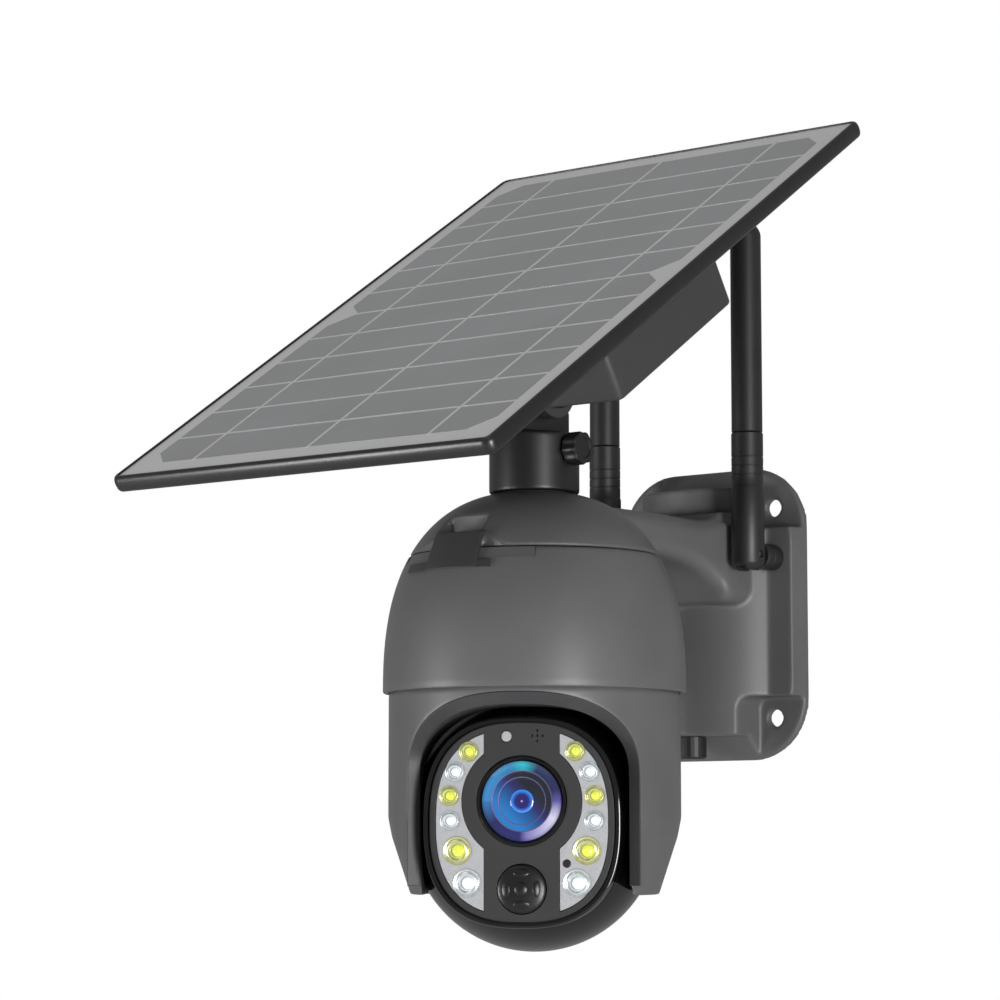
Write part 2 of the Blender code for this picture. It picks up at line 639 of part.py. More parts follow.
def arch_outline():
    """The arch seen from the front: straight sides and a flattened top."""
    side_z = -36 * MM
    rise = ARCH_TOP - side_z
    points = [(ARCH_HALF_WIDTH, YOKE_BOTTOM - 10 * MM)]
    steps = 14
    for i in range(steps + 1):
        a = math.pi * i / steps
        c, s = math.cos(a), math.sin(a)
        points.append((ARCH_HALF_WIDTH * math.copysign(abs(c) ** 0.8, c),
                       side_z + rise * abs(s) ** 0.8))
    points.append((-ARCH_HALF_WIDTH, YOKE_BOTTOM - 10 * MM))
    return points


def yoke(looks, pan):
    """The turning head: a short drum with two arms that hold the ball."""
    shell = new_object("yoke_shell", lofted_mesh(yoke_rings(
        YOKE_RADIUS, YOKE_BOTTOM_HALF, YOKE_TOP, YOKE_STRAIGHT_TO, YOKE_BOTTOM)),
        looks["housing"], pan)
    steps = 12
    profile = [((BALL_RADIUS + BALL_CLEARANCE) * math.sin(math.pi * i / steps),
                -(BALL_RADIUS + BALL_CLEARANCE) * math.cos(math.pi * i / steps))
               for i in range(steps + 1)]
    cavity = turned("ball_cavity", profile, None, pan, 32, moved(0, 0, TILT_Z))
    reach = YOKE_RADIUS + 10 * MM
    arch = extruded("arch", arch_outline(), -reach, reach, None, pan, FACING)
    drum = turned("drum_hollow", rod_profile(YOKE_RADIUS - WALL, YOKE_TOP - 5 * MM,
                  YOKE_TOP + 10 * MM), None, pan, 40)
    bore = turned("hub_bore", rod_profile(8 * MM, ARCH_TOP - 20 * MM, YOKE_TOP + 10 * MM), None,
                  pan, 24)
    sides = turned("axle_bore", rod_profile(AXLE_RADIUS + GAP, -YOKE_RADIUS + 3 * MM,
                   YOKE_RADIUS - 3 * MM), None, pan, 20, moved(0, 0, TILT_Z) @ ALONG_X)
    cut(shell, cavity, arch, drum, bore, sides)
    floor = YOKE_TOP - 5 * MM
    turned("pan_hub", [
        (8.5 * MM, floor + GAP), (24 * MM, floor + GAP), (24 * MM, floor + 3 * MM),
        (HUB_RADIUS, floor + 3 * MM), (HUB_RADIUS, CHASSIS_Z + CHASSIS_THICKNESS + 2 * MM),
        (8.5 * MM, CHASSIS_Z + CHASSIS_THICKNESS + 2 * MM)], looks["black"], pan, 24)
    gear = extruded("pan_gear", gear_outline(PAN_GEAR_TEETH, GEAR_MODULE), GEAR_Z,
                    GEAR_Z + GEAR_THICKNESS, looks["bearing"], pan,
                    Matrix.Rotation(-math.pi / 2 - PAN_AT_REST, 4, "Z"))
    cut(gear, turned("gear_bore", rod_profile(HUB_RADIUS + GAP, 0, 30 * MM), None, pan, 24))
    low = CHASSIS_Z + CHASSIS_THICKNESS + 2 * MM + GAP
    turned("pan_retainer", tube_profile(HUB_RADIUS + 4 * MM, 8.5 * MM, low, low + 2 * MM),
           looks["steel"], pan, 20)


def tilt_axles(looks, pan):
    """The two axles fixed in the yoke's arms, and the gear that stays still on the right one."""
    place = moved(0, 0, TILT_Z)
    outer = YOKE_RADIUS - 3 * MM - GAP
    gear_end = TILT_GEAR_X - GAP
    turned("tilt_axle_right", rod_profile(AXLE_RADIUS, gear_end, outer), looks["steel"],
                  pan, 20, place @ ALONG_X)
    gear = extruded("tilt_gear", gear_outline(TILT_GEAR_TEETH, MM), TILT_GEAR_X,
                    TILT_GEAR_X + GEAR_THICKNESS, looks["bearing"], pan,
                    place @ ALONG_X @ Matrix.Rotation(math.pi / 2, 4, "Z"))
    cut(gear, turned("tilt_gear_bore", rod_profile(AXLE_RADIUS + GAP, TILT_GEAR_X - 5 * MM,
                     TILT_GEAR_X + 10 * MM), None, pan, 20, place @ ALONG_X))
    turned("tilt_axle_left", tube_profile(AXLE_RADIUS, 2.5 * MM, 44 * MM, outer),
           looks["steel"], pan, 20, place @ Matrix.Rotation(-math.pi / 2, 4, "Y"))


# ---------------------------------------------------------------- camera ball

def snout_rings(half_x, half_y, start, end):
    ring = oval(half_x, half_y)
    return [[(x, -distance, FACE_CENTRE_Z + z) for x, z in ring] for distance in (start, end)]


def ball_shells(looks, tilt):
    """Front shell with its oval snout, and rear shell, parted behind the tilt axis."""
    outer = BALL_RADIUS
    inner = outer - BALL_WALL
    split = math.degrees(math.asin(BALL_SPLIT / outer))
    front = turned("ball_front_shell", [(0, -BALL_SPLIT)] + arc(outer, -split, 90, 9)[:-1]
                   + [(0, outer)], looks["ball"], tilt, 32, FACING)
    snout = new_object("snout_outer", lofted_mesh(snout_rings(
        FACE_HALF_WIDTH + SNOUT_WALL, FACE_HALF_HEIGHT + SNOUT_WALL, 8 * MM,
        FACE_DISTANCE + 5 * MM)), None, tilt)
    trim = extruded("snout_trim", box_outline(-80 * MM, 80 * MM, -80 * MM, 80 * MM),
                    FACE_DISTANCE + SNOUT_PROUD, 80 * MM, None, tilt, FACING)
    inside_split = math.degrees(math.asin(BALL_SPLIT / inner))
    hollow = turned("front_hollow", [(0, -BALL_SPLIT - MM),
                    (inner * math.cos(math.radians(inside_split)), -BALL_SPLIT - MM)]
                    + arc(inner, -inside_split, 90, 7)[:-1] + [(0, inner)],
                    None, tilt, 28, FACING)
    throat = new_object("snout_hollow", lofted_mesh(snout_rings(
        FACE_HALF_WIDTH - WALL, FACE_HALF_HEIGHT - WALL, 10 * MM, FACE_DISTANCE + 5 * MM)),
        None, tilt)
    back_wall = FACE_DISTANCE - FACE_THICKNESS - GAP
    seat = new_object("face_seat", lofted_mesh(snout_rings(
        FACE_HALF_WIDTH + GAP, FACE_HALF_HEIGHT + GAP, back_wall, FACE_DISTANCE + 5 * MM)),
        None, tilt)
    join(front, snout)
    cut(front, trim, hollow, throat, seat)
    cut(front, turned("axle_holes", rod_profile(AXLE_RADIUS + GAP, -60 * MM, 60 * MM), None,
                      tilt, 20, ALONG_X))
    low = BALL_SPLIT + GAP
    out_split = math.degrees(math.asin(low / outer))
    in_split = math.degrees(math.asin(low / inner))
    profile = arc(outer, -out_split, -90, 8)[:-1] + [(0, -outer), (0, -inner)]
    profile += arc(inner, -90, -in_split, 6)[1:]
    turned("ball_rear_shell", profile, looks["ball"], tilt, 32, FACING)


def window_outline(side, grow=0.0):
    """A crescent beside the lens: straight inner edges, a round bite and the face's own curve."""
    inner, edge = WINDOW_INNER - grow, WINDOW_EDGE_X - grow
    turn = math.degrees(math.acos(edge / inner))
    bite = arc(inner, turn, -turn, 8, (0, LENS_Z))
    half_x = FACE_HALF_WIDTH - WINDOW_INSET + grow
    half_z = FACE_HALF_HEIGHT - WINDOW_INSET + grow
    start = math.acos((edge / half_x) ** (FACE_POWER / 2))
    back = []
    for i in range(13):
        a = -start + 2 * start * i / 12
        back.append((half_x * math.cos(a) ** (2 / FACE_POWER),
                     FACE_CENTRE_Z + half_z * math.copysign(abs(math.sin(a)) ** (2 / FACE_POWER), a)))
    return [(side * x, z) for x, z in bite + back][::side]


def face(looks, tilt):
    """The oval face plate and everything that shows through it."""
    plate_back = FACE_DISTANCE - FACE_THICKNESS
    plate = new_object("face_plate", lofted_mesh(snout_rings(
        FACE_HALF_WIDTH, FACE_HALF_HEIGHT, plate_back, FACE_DISTANCE)), looks["face"], tilt)
    ring_radius = LENS_RADIUS + LENS_RING_WIDTH
    tools = [
        turned("lens_hole", rod_profile(ring_radius + GAP, 0, 60 * MM), None, tilt, 40,
               moved(0, 0, LENS_Z) @ FACING),
        turned("pir_hole", rod_profile(PIR_RADIUS + GAP, 0, 60 * MM), None, tilt, 28,
               moved(0, 0, PIR_Z) @ FACING),
        turned("sensor_hole", rod_profile(LIGHT_SENSOR_RADIUS + GAP, 0, 60 * MM), None, tilt, 14,
               moved(LIGHT_SENSOR_AT[0], 0, LIGHT_SENSOR_AT[1]) @ FACING),
    ]
    cut(plate, *tools)
    for side, name in ((-1, "left"), (1, "right")):
        cut(plate, extruded("window_hole", window_outline(side, GAP), plate_back - MM,
                            FACE_DISTANCE + MM, None, tilt, FACING))
        extruded(f"led_window_{name}", window_outline(side), plate_back + 0.6 * MM,
                 FACE_DISTANCE - 0.2 * MM, looks["window"], tilt, FACING)
    lens_place = moved(0, 0, LENS_Z) @ FACING
    turned("lens_ring", tube_profile(ring_radius, LENS_RADIUS, plate_back,
           FACE_DISTANCE + 0.6 * MM), looks["black"], tilt, 32, lens_place)
    turned("lens_glass", rod_profile(LENS_RADIUS - GAP, FACE_DISTANCE - 1.6 * MM, FACE_DISTANCE),
           looks["lens"], tilt, 32, lens_place)
    barrel_back = 18 * MM
    barrel_front = FACE_DISTANCE - 1.6 * MM - GAP
    turned("lens_barrel", [
        (0, barrel_back), (7 * MM, barrel_back), (7 * MM, 30 * MM), (12 * MM, 33 * MM),
        (12 * MM, barrel_front), (9 * MM, barrel_front), (6 * MM, 36 * MM), (0, 36 * MM)],
        looks["black"], tilt, 24, lens_place)
    extruded("sensor_board", rounded_rectangle(15 * MM, 15 * MM, 2 * MM, 2, (0, LENS_Z)),
             barrel_back - GAP - BOARD_THICKNESS, barrel_back - GAP, looks["board"], tilt, FACING)
    led_board = new_object("led_board", lofted_mesh(snout_rings(
        FACE_HALF_WIDTH - WALL - 2 * GAP, FACE_HALF_HEIGHT - WALL - 2 * GAP,
        plate_back - 4 * MM - BOARD_THICKNESS, plate_back - 4 * MM)), looks["board"], tilt)
    cut(led_board,
        turned("barrel_hole", rod_profile(14 * MM, 0, 60 * MM), None, tilt, 24, lens_place),
        turned("pir_board_hole", rod_profile(PIR_RADIUS + MM, 0, 60 * MM), None, tilt, 20,
               moved(0, 0, PIR_Z) @ FACING))
    turned("light_sensor_window", rod_profile(LIGHT_SENSOR_RADIUS, plate_back + 0.4 * MM,
           FACE_DISTANCE - 0.2 * MM), looks["window"], tilt, 14,
           moved(LIGHT_SENSOR_AT[0], 0, LIGHT_SENSOR_AT[1]) @ FACING)
    turned("pir_lens", [
        (0, plate_back - 6 * MM), (PIR_RADIUS - MM, plate_back - 6 * MM),
        (PIR_RADIUS - MM, plate_back - MM), (PIR_RADIUS, plate_back - MM),
        (PIR_RADIUS, FACE_DISTANCE), (PIR_RADIUS * 0.8, FACE_DISTANCE + 1.6 * MM),
        (PIR_RADIUS * 0.4, FACE_DISTANCE + 2.6 * MM), (0, FACE_DISTANCE + 2.8 * MM)],
        looks["pir"], tilt, 24, moved(0, 0, PIR_Z) @ FACING)


def tilt_drive(looks, tilt):
    """The tilt motor inside the ball, and its pinion that rolls round the still gear."""
    distance = (TILT_GEAR_TEETH + TILT_PINION_TEETH) * MM / 2
    body_end = TILT_GEAR_X - 2 * MM
    turned("tilt_motor", rod_profile(12 * MM, body_end - MOTOR_HEIGHT, body_end), looks["steel"],
           tilt, 24, moved(0, distance, 0) @ ALONG_X)
    axis = empty("tilt_pinion_axis", tilt, (0, distance, 0))
    # The pinion sits on the gear's +Y side, and a tooth space of its own faces the gear.
    turn = Matrix.Rotation(math.radians(-90 + 180 / TILT_PINION_TEETH), 4, "Z")
    gear = extruded("tilt_pinion", gear_outline(TILT_PINION_TEETH, MM), TILT_GEAR_X,
                    TILT_GEAR_X + GEAR_THICKNESS, looks["brass"], axis, ALONG_X @ turn)
    join(gear, turned("tilt_pinion_shaft", rod_profile(1.8 * MM, body_end + GAP,
         TILT_GEAR_X + GEAR_THICKNESS + MM), None, axis, 14, ALONG_X))


# ---------------------------------------------------------------- panel bracket

def panel_post(looks, swivel):
    """The collar that sits on the spigot, with the tongue of the tilt hinge above it."""
    roof = SPIGOT_TOP + GAP
    post = turned("panel_post", [
        (SPIGOT_RADIUS + GAP, COLLAR_BOTTOM), (COLLAR_RADIUS, COLLAR_BOTTOM),
        (COLLAR_RADIUS, COLLAR_TOP - MM), (COLLAR_RADIUS - MM, COLLAR_TOP), (0, COLLAR_TOP),
        (0, roof), (SPIGOT_RADIUS + GAP, roof)], looks["black"], swivel, 36)
    shoulder = HINGE_Z - 9.5 * MM
    outline = [(-TONGUE_HALF_DEPTH, COLLAR_TOP - MM), (TONGUE_HALF_DEPTH, COLLAR_TOP - MM),
               (TONGUE_HALF_DEPTH, shoulder)]
    outline += arc(TONGUE_TIP_RADIUS, 10, 170, 8, (0, HINGE_Z))
    outline += [(-TONGUE_HALF_DEPTH, shoulder)]
    rings = [[(x, y, z) for y, z in outline] for x in (-TONGUE_HALF_WIDTH, TONGUE_HALF_WIDTH)]
    join(post, new_object("tongue", lofted_mesh(rings), None, swivel))
    cut(post,
        turned("bolt_bore", rod_profile(BOLT_RADIUS + GAP, -20 * MM, 20 * MM), None, swivel, 20,
               moved(0, 0, HINGE_Z) @ ALONG_X),
        turned("stud_bore", rod_profile(STUD_RADIUS + GAP, 10 * MM, 30 * MM), None, swivel, 16,
               moved(0, 0, THUMB_Z) @ ALONG_X))


def thumb_screw(looks, swivel):
    """A stud through the collar that clamps the post, and its ribbed knob."""
    place = moved(0, 0, THUMB_Z) @ ALONG_X
    tip = SPIGOT_RADIUS + GAP
    knob_start = COLLAR_RADIUS + 0.6 * MM
    turned("thumb_stud", rod_profile(STUD_RADIUS, tip, knob_start + THUMB_KNOB_LENGTH / 2),
           looks["steel"], swivel, 16, place)
    ribs = 15
    outline = []
    for i in range(ribs):
        for share, radius in ((-0.25, THUMB_KNOB_RADIUS), (0.25, THUMB_KNOB_RADIUS),
                              (0.4, THUMB_KNOB_RADIUS - 0.6 * MM),
                              (0.6, THUMB_KNOB_RADIUS - 0.6 * MM)):
            a = 2 * math.pi * (i + share) / ribs
            outline.append((radius * math.cos(a), radius * math.sin(a)))
    knob = extruded("thumb_knob", outline, knob_start, knob_start + THUMB_KNOB_LENGTH,
                    looks["black"], swivel, place)
    cut(knob, turned("knob_bore", rod_profile(STUD_RADIUS + GAP, 0,
        knob_start + THUMB_KNOB_LENGTH / 2 + GAP), None, swivel, 16, place))


def hinge_bolt(looks, panel):
    """The bolt through the ears and the tongue, with its nut."""
    ear_out = TONGUE_HALF_WIDTH + GAP + EAR_THICKNESS
    end = ear_out + GAP + BOLT_HEAD_LENGTH
    turned("hinge_bolt", [
        (0, -ear_out - 4.5 * MM), (BOLT_RADIUS, -ear_out - 4.5 * MM),
        (BOLT_RADIUS, ear_out + GAP), (BOLT_HEAD_RADIUS, ear_out + GAP),
        (BOLT_HEAD_RADIUS, end - MM), (BOLT_HEAD_RADIUS - MM, end), (0, end)],
        looks["black"], panel, 20, ALONG_X)
    nut = extruded("hinge_nut", circle(6 * MM, 6), -ear_out - GAP - 4 * MM, -ear_out - GAP,
                   looks["steel"], panel, ALONG_X)
    cut(nut, turned("nut_bore", rod_profile(BOLT_RADIUS + GAP, -30 * MM, 0), None, panel, 20,
                    ALONG_X))


# ---------------------------------------------------------------- solar panel

def solar_panel(looks, panel):
    """Frame, laminate and glass, modelled flat about the hinge and tilted by its empty."""
    half_x, half_y = PANEL_WIDTH / 2, PANEL_LENGTH / 2
    bottom = PANEL_TOP - FRAME_THICKNESS
    bevel = 2.2 * MM
    rings = []
    for z, inset in ((bottom, bevel), (bottom + bevel, 0), (PANEL_TOP - bevel, 0),
                     (PANEL_TOP - 0.6 * MM, 0.6 * MM), (PANEL_TOP, 1.4 * MM)):
        ring = rounded_rectangle(half_x - inset, half_y - inset, 4 * MM - inset, 2)
        rings.append([(x, y, z) for x, y in ring])
    frame = new_object("panel_frame", lofted_mesh(rings), looks["frame"], panel)
    inner_x, inner_y = half_x - FRAME_LIP, half_y - FRAME_LIP
    floor = bottom + TRAY_FLOOR
    cut(frame, extruded("tray", rounded_rectangle(inner_x, inner_y, 2 * MM, 2), floor,
                        PANEL_TOP + 5 * MM, None, panel))
    glass_top = PANEL_TOP - 0.5 * MM
    glass_bottom = glass_top - GLASS_THICKNESS
    fit_x, fit_y = inner_x - GAP, inner_y - GAP
    extruded("panel_glass", rounded_rectangle(fit_x, fit_y, 1.7 * MM, 2), glass_bottom,
             glass_top, looks["panel_glass"], panel)
    extruded("panel_laminate", rounded_rectangle(fit_x, fit_y, 1.7 * MM, 2),
             glass_bottom - GAP - LAMINATE_THICKNESS, glass_bottom - GAP, looks["cells"], panel)
    return bottom


def battery_box(looks, panel, top):
    """The deep box under the panel with its ears, its lid and what is inside."""
    half_x, half_y = BOX_WIDTH / 2, BOX_LENGTH / 2
    lid_top = top - GAP
    lid_thickness = 2 * MM
    rim = lid_top - lid_thickness - GAP
    case = new_object("battery_box", lofted_mesh([
        [(x, y, z) for x, y in rounded_rectangle(half_x - inset, half_y - inset,
                                                 3 * MM - inset, 2)]
        for z, inset in ((BOX_BOTTOM, 1.5 * MM), (BOX_BOTTOM + 1.5 * MM, 0), (rim, 0))]),
        looks["frame"], panel)
    for side in (-1, 1):
        outline = arc(EAR_RADIUS, 180, 360, 12) + [(EAR_RADIUS, BOX_BOTTOM + MM),
                                                   (-EAR_RADIUS, BOX_BOTTOM + MM)]
        inner = TONGUE_HALF_WIDTH + GAP
        rings = [[(side * x, y, z) for y, z in outline] for x in (inner, inner + EAR_THICKNESS)]
        join(case, new_object("ear", lofted_mesh(rings), None, panel))
    cut(case,
        extruded("battery_room", rounded_rectangle(half_x - BOX_WALL, half_y - BOX_WALL, MM, 1),
                 BOX_BOTTOM + BOX_WALL, rim + 5 * MM, None, panel),
        turned("ear_bore", rod_profile(BOLT_RADIUS + GAP, -20 * MM, 20 * MM), None, panel, 20,
               ALONG_X))
    extruded("battery_box_lid", rounded_rectangle(half_x, half_y, 3 * MM, 2), lid_top
             - lid_thickness, lid_top, looks["frame"], panel)
    pitch = 2 * CELL_RADIUS + 0.2 * MM
    cell_z = BOX_BOTTOM + BOX_WALL + CELL_RADIUS + GAP
    for side, name in ((-1, "left"), (1, "right")):
        centre = side * (CELLS_IN_PACK / 2 * pitch + MM)
        pack = None
        for index in range(CELLS_IN_PACK):
            x = centre + (index - (CELLS_IN_PACK - 1) / 2) * pitch
            cell = turned(f"battery_pack_{name}" if pack is None else "cell",
                          rod_profile(CELL_RADIUS, -CELL_LENGTH / 2, CELL_LENGTH / 2),
                          looks["battery"], panel, 20, moved(x, 0, cell_z) @ ALONG_Y)
            if pack is None:
                pack = cell
            else:
                join(pack, cell)
        strap = extruded("cell_strap", box_outline(centre - 1.6 * pitch, centre + 1.6 * pitch,
                         -CELL_LENGTH / 2 + MM, CELL_LENGTH / 2 - MM), cell_z - MM,
                         cell_z + MM, None, panel)
        join(pack, strap)
    extruded("charge_board", rounded_rectangle(22 * MM, 11 * MM, MM, 1),
             cell_z + CELL_RADIUS + MM, cell_z + CELL_RADIUS + MM + BOARD_THICKNESS,
             looks["board"], panel)


# ---------------------------------------------------------------- antennas

def antenna(looks, dome, side, name):
    """One stub antenna: a turning base, a hinge pin, and a sleeve with its whip."""
    depth = BULGE_DEPTH + ANTENNA_STAND_OFF
    base_axis = empty(f"antenna_{name}_axis", dome,
                      (side * ANTENNA_X, DOME_TO_WALL - depth, ANTENNA_HINGE_Z))
    back = depth - LAND_DEPTH - GAP
    nose_end = depth - COVER_THICKNESS - 3 * MM
    # The barrel runs back from the hinge to the wall box, with a threaded nose inside it.
    base = turned(f"antenna_base_{name}", [
        (0, 8.5 * MM), (5.5 * MM, 8.5 * MM), (BARREL_RADIUS, 10 * MM), (BARREL_RADIUS, back),
        (NOSE_RADIUS, back), (NOSE_RADIUS, nose_end), (0, nose_end)],
        looks["rubber"], base_axis, 20, ALONG_Y)
    tip = 5.5 * MM
    outline = arc(tip, 90, 270, 10) + [(10 * MM, -tip), (10 * MM, tip)]
    rings = [[(x, y, z) for y, z in outline] for x in (-ANTENNA_TONGUE, ANTENNA_TONGUE)]
    join(base, new_object("antenna_tongue", lofted_mesh(rings), None, base_axis))
    pin_bore = turned("pin_bore", rod_profile(ANTENNA_PIN_RADIUS + GAP, -10 * MM, 10 * MM), None,
                      base_axis, 14, ALONG_X)
    cut(base, pin_bore)
    turned(f"antenna_pin_{name}", rod_profile(ANTENNA_PIN_RADIUS, -6 * MM, 6 * MM),
           looks["steel"], base_axis, 14, ALONG_X)
    top = SLEEVE_TOP - ANTENNA_HINGE_Z
    ringed = RINGED_TOP - ANTENNA_HINGE_Z
    flat = math.degrees(math.asin(SLEEVE_FOOT / SLEEVE_SWEEP))
    side_on = math.degrees(math.acos(SLEEVE_RADIUS / SLEEVE_SWEEP))
    sleeve = turned(f"antenna_sleeve_{name}", [(0, -SLEEVE_FOOT)] + arc(
        SLEEVE_SWEEP, -flat, -side_on, 4) + [(SLEEVE_RADIUS, top),
        (SLEEVE_RADIUS - 0.3 * MM, top + 0.3 * MM), (SLEEVE_RADIUS - 0.3 * MM, ringed),
        (WHIP_RADIUS - 0.3 * MM, ringed), (0, ringed)], looks["rubber"], base_axis, 20)
    room = tip + 0.6 * MM
    slot_outline = arc(room, 90, 180, 6) + [(-room, -room - 4 * MM), (20 * MM, -room - 4 * MM),
                                            (20 * MM, room)]
    half = ANTENNA_TONGUE + GAP
    slot = new_object("fork_slot", lofted_mesh([[(x, y, z) for y, z in slot_outline]
                                                for x in (-half, half)]), None, base_axis)
    cut(sleeve, slot, turned("sleeve_pin_bore", rod_profile(ANTENNA_PIN_RADIUS + GAP,
        -10 * MM, 10 * MM), None, base_axis, 14, ALONG_X))
    whip_top = WHIP_TOP - ANTENNA_HINGE_Z
    start = ringed + GAP
    turned(f"antenna_whip_{name}", [(0, start), (WHIP_RADIUS, start)]
           + arc(WHIP_RADIUS, 0, 90, 5, (0, whip_top - WHIP_RADIUS)), looks["rubber"],
           base_axis, 20)


def main():
    clear_scene()
    looks = finishes()
    dome = empty("dome_axis", None, (0, -DOME_TO_WALL, RIM_Z))
    top_housing(looks, dome)
    back_cover(looks, dome)
    port_plug(looks, dome)
    dome_skirt(looks, dome)
    front_latch(looks, dome)
    chassis(looks, dome)
    pan_pinion(looks, dome)
    pan = empty("pan_axis", dome, (0, 0, 0), (0, 0, PAN_AT_REST))
    yoke(looks, pan)
    tilt_axles(looks, pan)
    tilt = empty("tilt_axis", pan, (0, 0, TILT_Z))
    ball_shells(looks, tilt)
    face(looks, tilt)
    tilt_drive(looks, tilt)
    swivel = empty("swivel_axis", dome)
    panel_post(looks, swivel)
    thumb_screw(looks, swivel)
    panel = empty("panel_axis", swivel, (0, 0, HINGE_Z), (PANEL_TILT, 0, 0))
    hinge_bolt(looks, panel)
    frame_bottom = solar_panel(looks, panel)
    battery_box(looks, panel, frame_bottom)
    for side, name in ((-1, "left"), (1, "right")):
        antenna(looks, dome, side, name)


main()
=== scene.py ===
"""Finishes, fine mouldings, stage and camera for the solar security camera.

Everything is in metres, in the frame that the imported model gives: the origin is the middle of
the wall box's back face, +X is to the right as a person facing the camera sees it, +Y points
into the wall, and +Z is up.
"""

import json
import math

import bmesh
import bpy
from bpy.props import FloatProperty, FloatVectorProperty, IntProperty, PointerProperty
from mathutils import Matrix, Vector


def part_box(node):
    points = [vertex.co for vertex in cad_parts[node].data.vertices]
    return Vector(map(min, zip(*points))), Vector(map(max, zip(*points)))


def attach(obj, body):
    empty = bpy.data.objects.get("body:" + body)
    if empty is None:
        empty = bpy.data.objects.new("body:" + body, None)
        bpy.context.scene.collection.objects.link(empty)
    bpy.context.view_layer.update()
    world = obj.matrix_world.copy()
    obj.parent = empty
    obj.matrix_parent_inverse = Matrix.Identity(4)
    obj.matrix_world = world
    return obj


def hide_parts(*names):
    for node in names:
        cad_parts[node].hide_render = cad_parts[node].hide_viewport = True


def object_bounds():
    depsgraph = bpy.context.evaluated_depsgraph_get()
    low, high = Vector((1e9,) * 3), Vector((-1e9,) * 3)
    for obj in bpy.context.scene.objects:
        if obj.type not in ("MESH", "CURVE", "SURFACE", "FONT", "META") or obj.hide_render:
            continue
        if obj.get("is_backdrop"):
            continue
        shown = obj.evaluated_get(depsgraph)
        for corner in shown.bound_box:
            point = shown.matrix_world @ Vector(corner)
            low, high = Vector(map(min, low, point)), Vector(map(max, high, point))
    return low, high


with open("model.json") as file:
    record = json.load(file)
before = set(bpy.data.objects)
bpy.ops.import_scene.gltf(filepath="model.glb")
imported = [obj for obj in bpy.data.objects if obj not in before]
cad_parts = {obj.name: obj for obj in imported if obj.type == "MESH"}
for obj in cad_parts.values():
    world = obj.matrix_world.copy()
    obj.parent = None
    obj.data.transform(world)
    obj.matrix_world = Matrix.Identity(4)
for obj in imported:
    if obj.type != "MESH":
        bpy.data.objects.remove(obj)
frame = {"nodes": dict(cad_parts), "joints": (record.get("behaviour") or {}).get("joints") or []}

bl_info = {
    "name": "Solar security camera",
    "version": (1, 0, 0),
    "blender": (4, 5, 0),
    "location": "3D View > Sidebar > Camera",
    "description": "Builds the finishes and the fine mouldings of a solar security camera",
    "category": "Object",
}

MM = 0.001
CLEARANCE = 0.3 * MM

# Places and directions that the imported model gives.
JOINTS = {joint["name"]: joint for joint in frame["joints"]}
PAN_AT = Vector(JOINTS["pan_turn"]["pos_m"])
TILT_AT = Vector(JOINTS["camera_tilt"]["pos_m"])
HINGE_AT = Vector(JOINTS["panel_tilt"]["pos_m"])
PAN_ANGLE = math.atan2(-JOINTS["camera_tilt"]["axis"][1], -JOINTS["camera_tilt"]["axis"][0])
PANEL_ANGLE = math.radians(33.06)

# Turns that stand a shape built along +Z on another direction.
ALONG_X = Matrix.Rotation(math.pi / 2, 4, "Y")
ALONG_Y = Matrix.Rotation(-math.pi / 2, 4, "X")
FACING = Matrix.Rotation(math.pi / 2, 4, "X")


def moved(x, y, z):
    return Matrix.Translation(Vector((x, y, z)))


DOME = Matrix.Translation(PAN_AT)
HEAD = DOME @ Matrix.Rotation(PAN_ANGLE, 4, "Z")
BALL = Matrix.Translation(TILT_AT) @ Matrix.Rotation(PAN_ANGLE, 4, "Z")
FACE = BALL @ FACING
PANEL = Matrix.Translation(HINGE_AT) @ Matrix.Rotation(PANEL_ANGLE, 4, "X")


class HousingSizes(bpy.types.PropertyGroup):
    """Sizes of the grey mouldings."""

    dome_radius: FloatProperty(
        name="Dome radius", description="Outside radius of the dome at its lower rim",
        default=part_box("dome_skirt")[1].x, min=0.01, unit="LENGTH")
    dome_height: FloatProperty(
        name="Dome height", description="Height at which the dome's curve would close",
        default=85.5 * MM, min=0.01, unit="LENGTH")
    dome_power: FloatProperty(
        name="Dome power", description="How square the dome's outline is; 2 is an ellipse",
        default=2.5, min=2.0, max=6.0)
    wall: FloatProperty(
        name="Wall", description="Thickness of the moulded shells",
        default=2.5 * MM, min=0.5 * MM, unit="LENGTH")
    rounding: FloatProperty(
        name="Rounding", description="Grid used to round the moulded edges",
        default=0.9 * MM, min=0.4 * MM, unit="LENGTH")
    grey: FloatVectorProperty(
        name="Grey", description="Colour of the moulded housing", subtype="COLOR",
        default=(0.106, 0.106, 0.107), min=0.0, max=1.0)


class FaceSizes(bpy.types.PropertyGroup):
    """Sizes of what shows on the ball's face."""

    led_small: FloatProperty(
        name="Small light", description="Radius of a small light's outer ring",
        default=4.2 * MM, min=MM, unit="LENGTH")
    led_large: FloatProperty(
        name="Large light", description="Radius of a large light's outer ring",
        default=5.9 * MM, min=MM, unit="LENGTH")
    warm: FloatVectorProperty(
        name="Warm light", description="Colour of the phosphor in the warm lights",
        subtype="COLOR", default=(0.74, 0.8, 0.09), min=0.0, max=1.0)
    cool: FloatVectorProperty(
        name="Cool light", description="Colour of the clear lights' core",
        subtype="COLOR", default=(0.86, 0.93, 0.95), min=0.0, max=1.0)


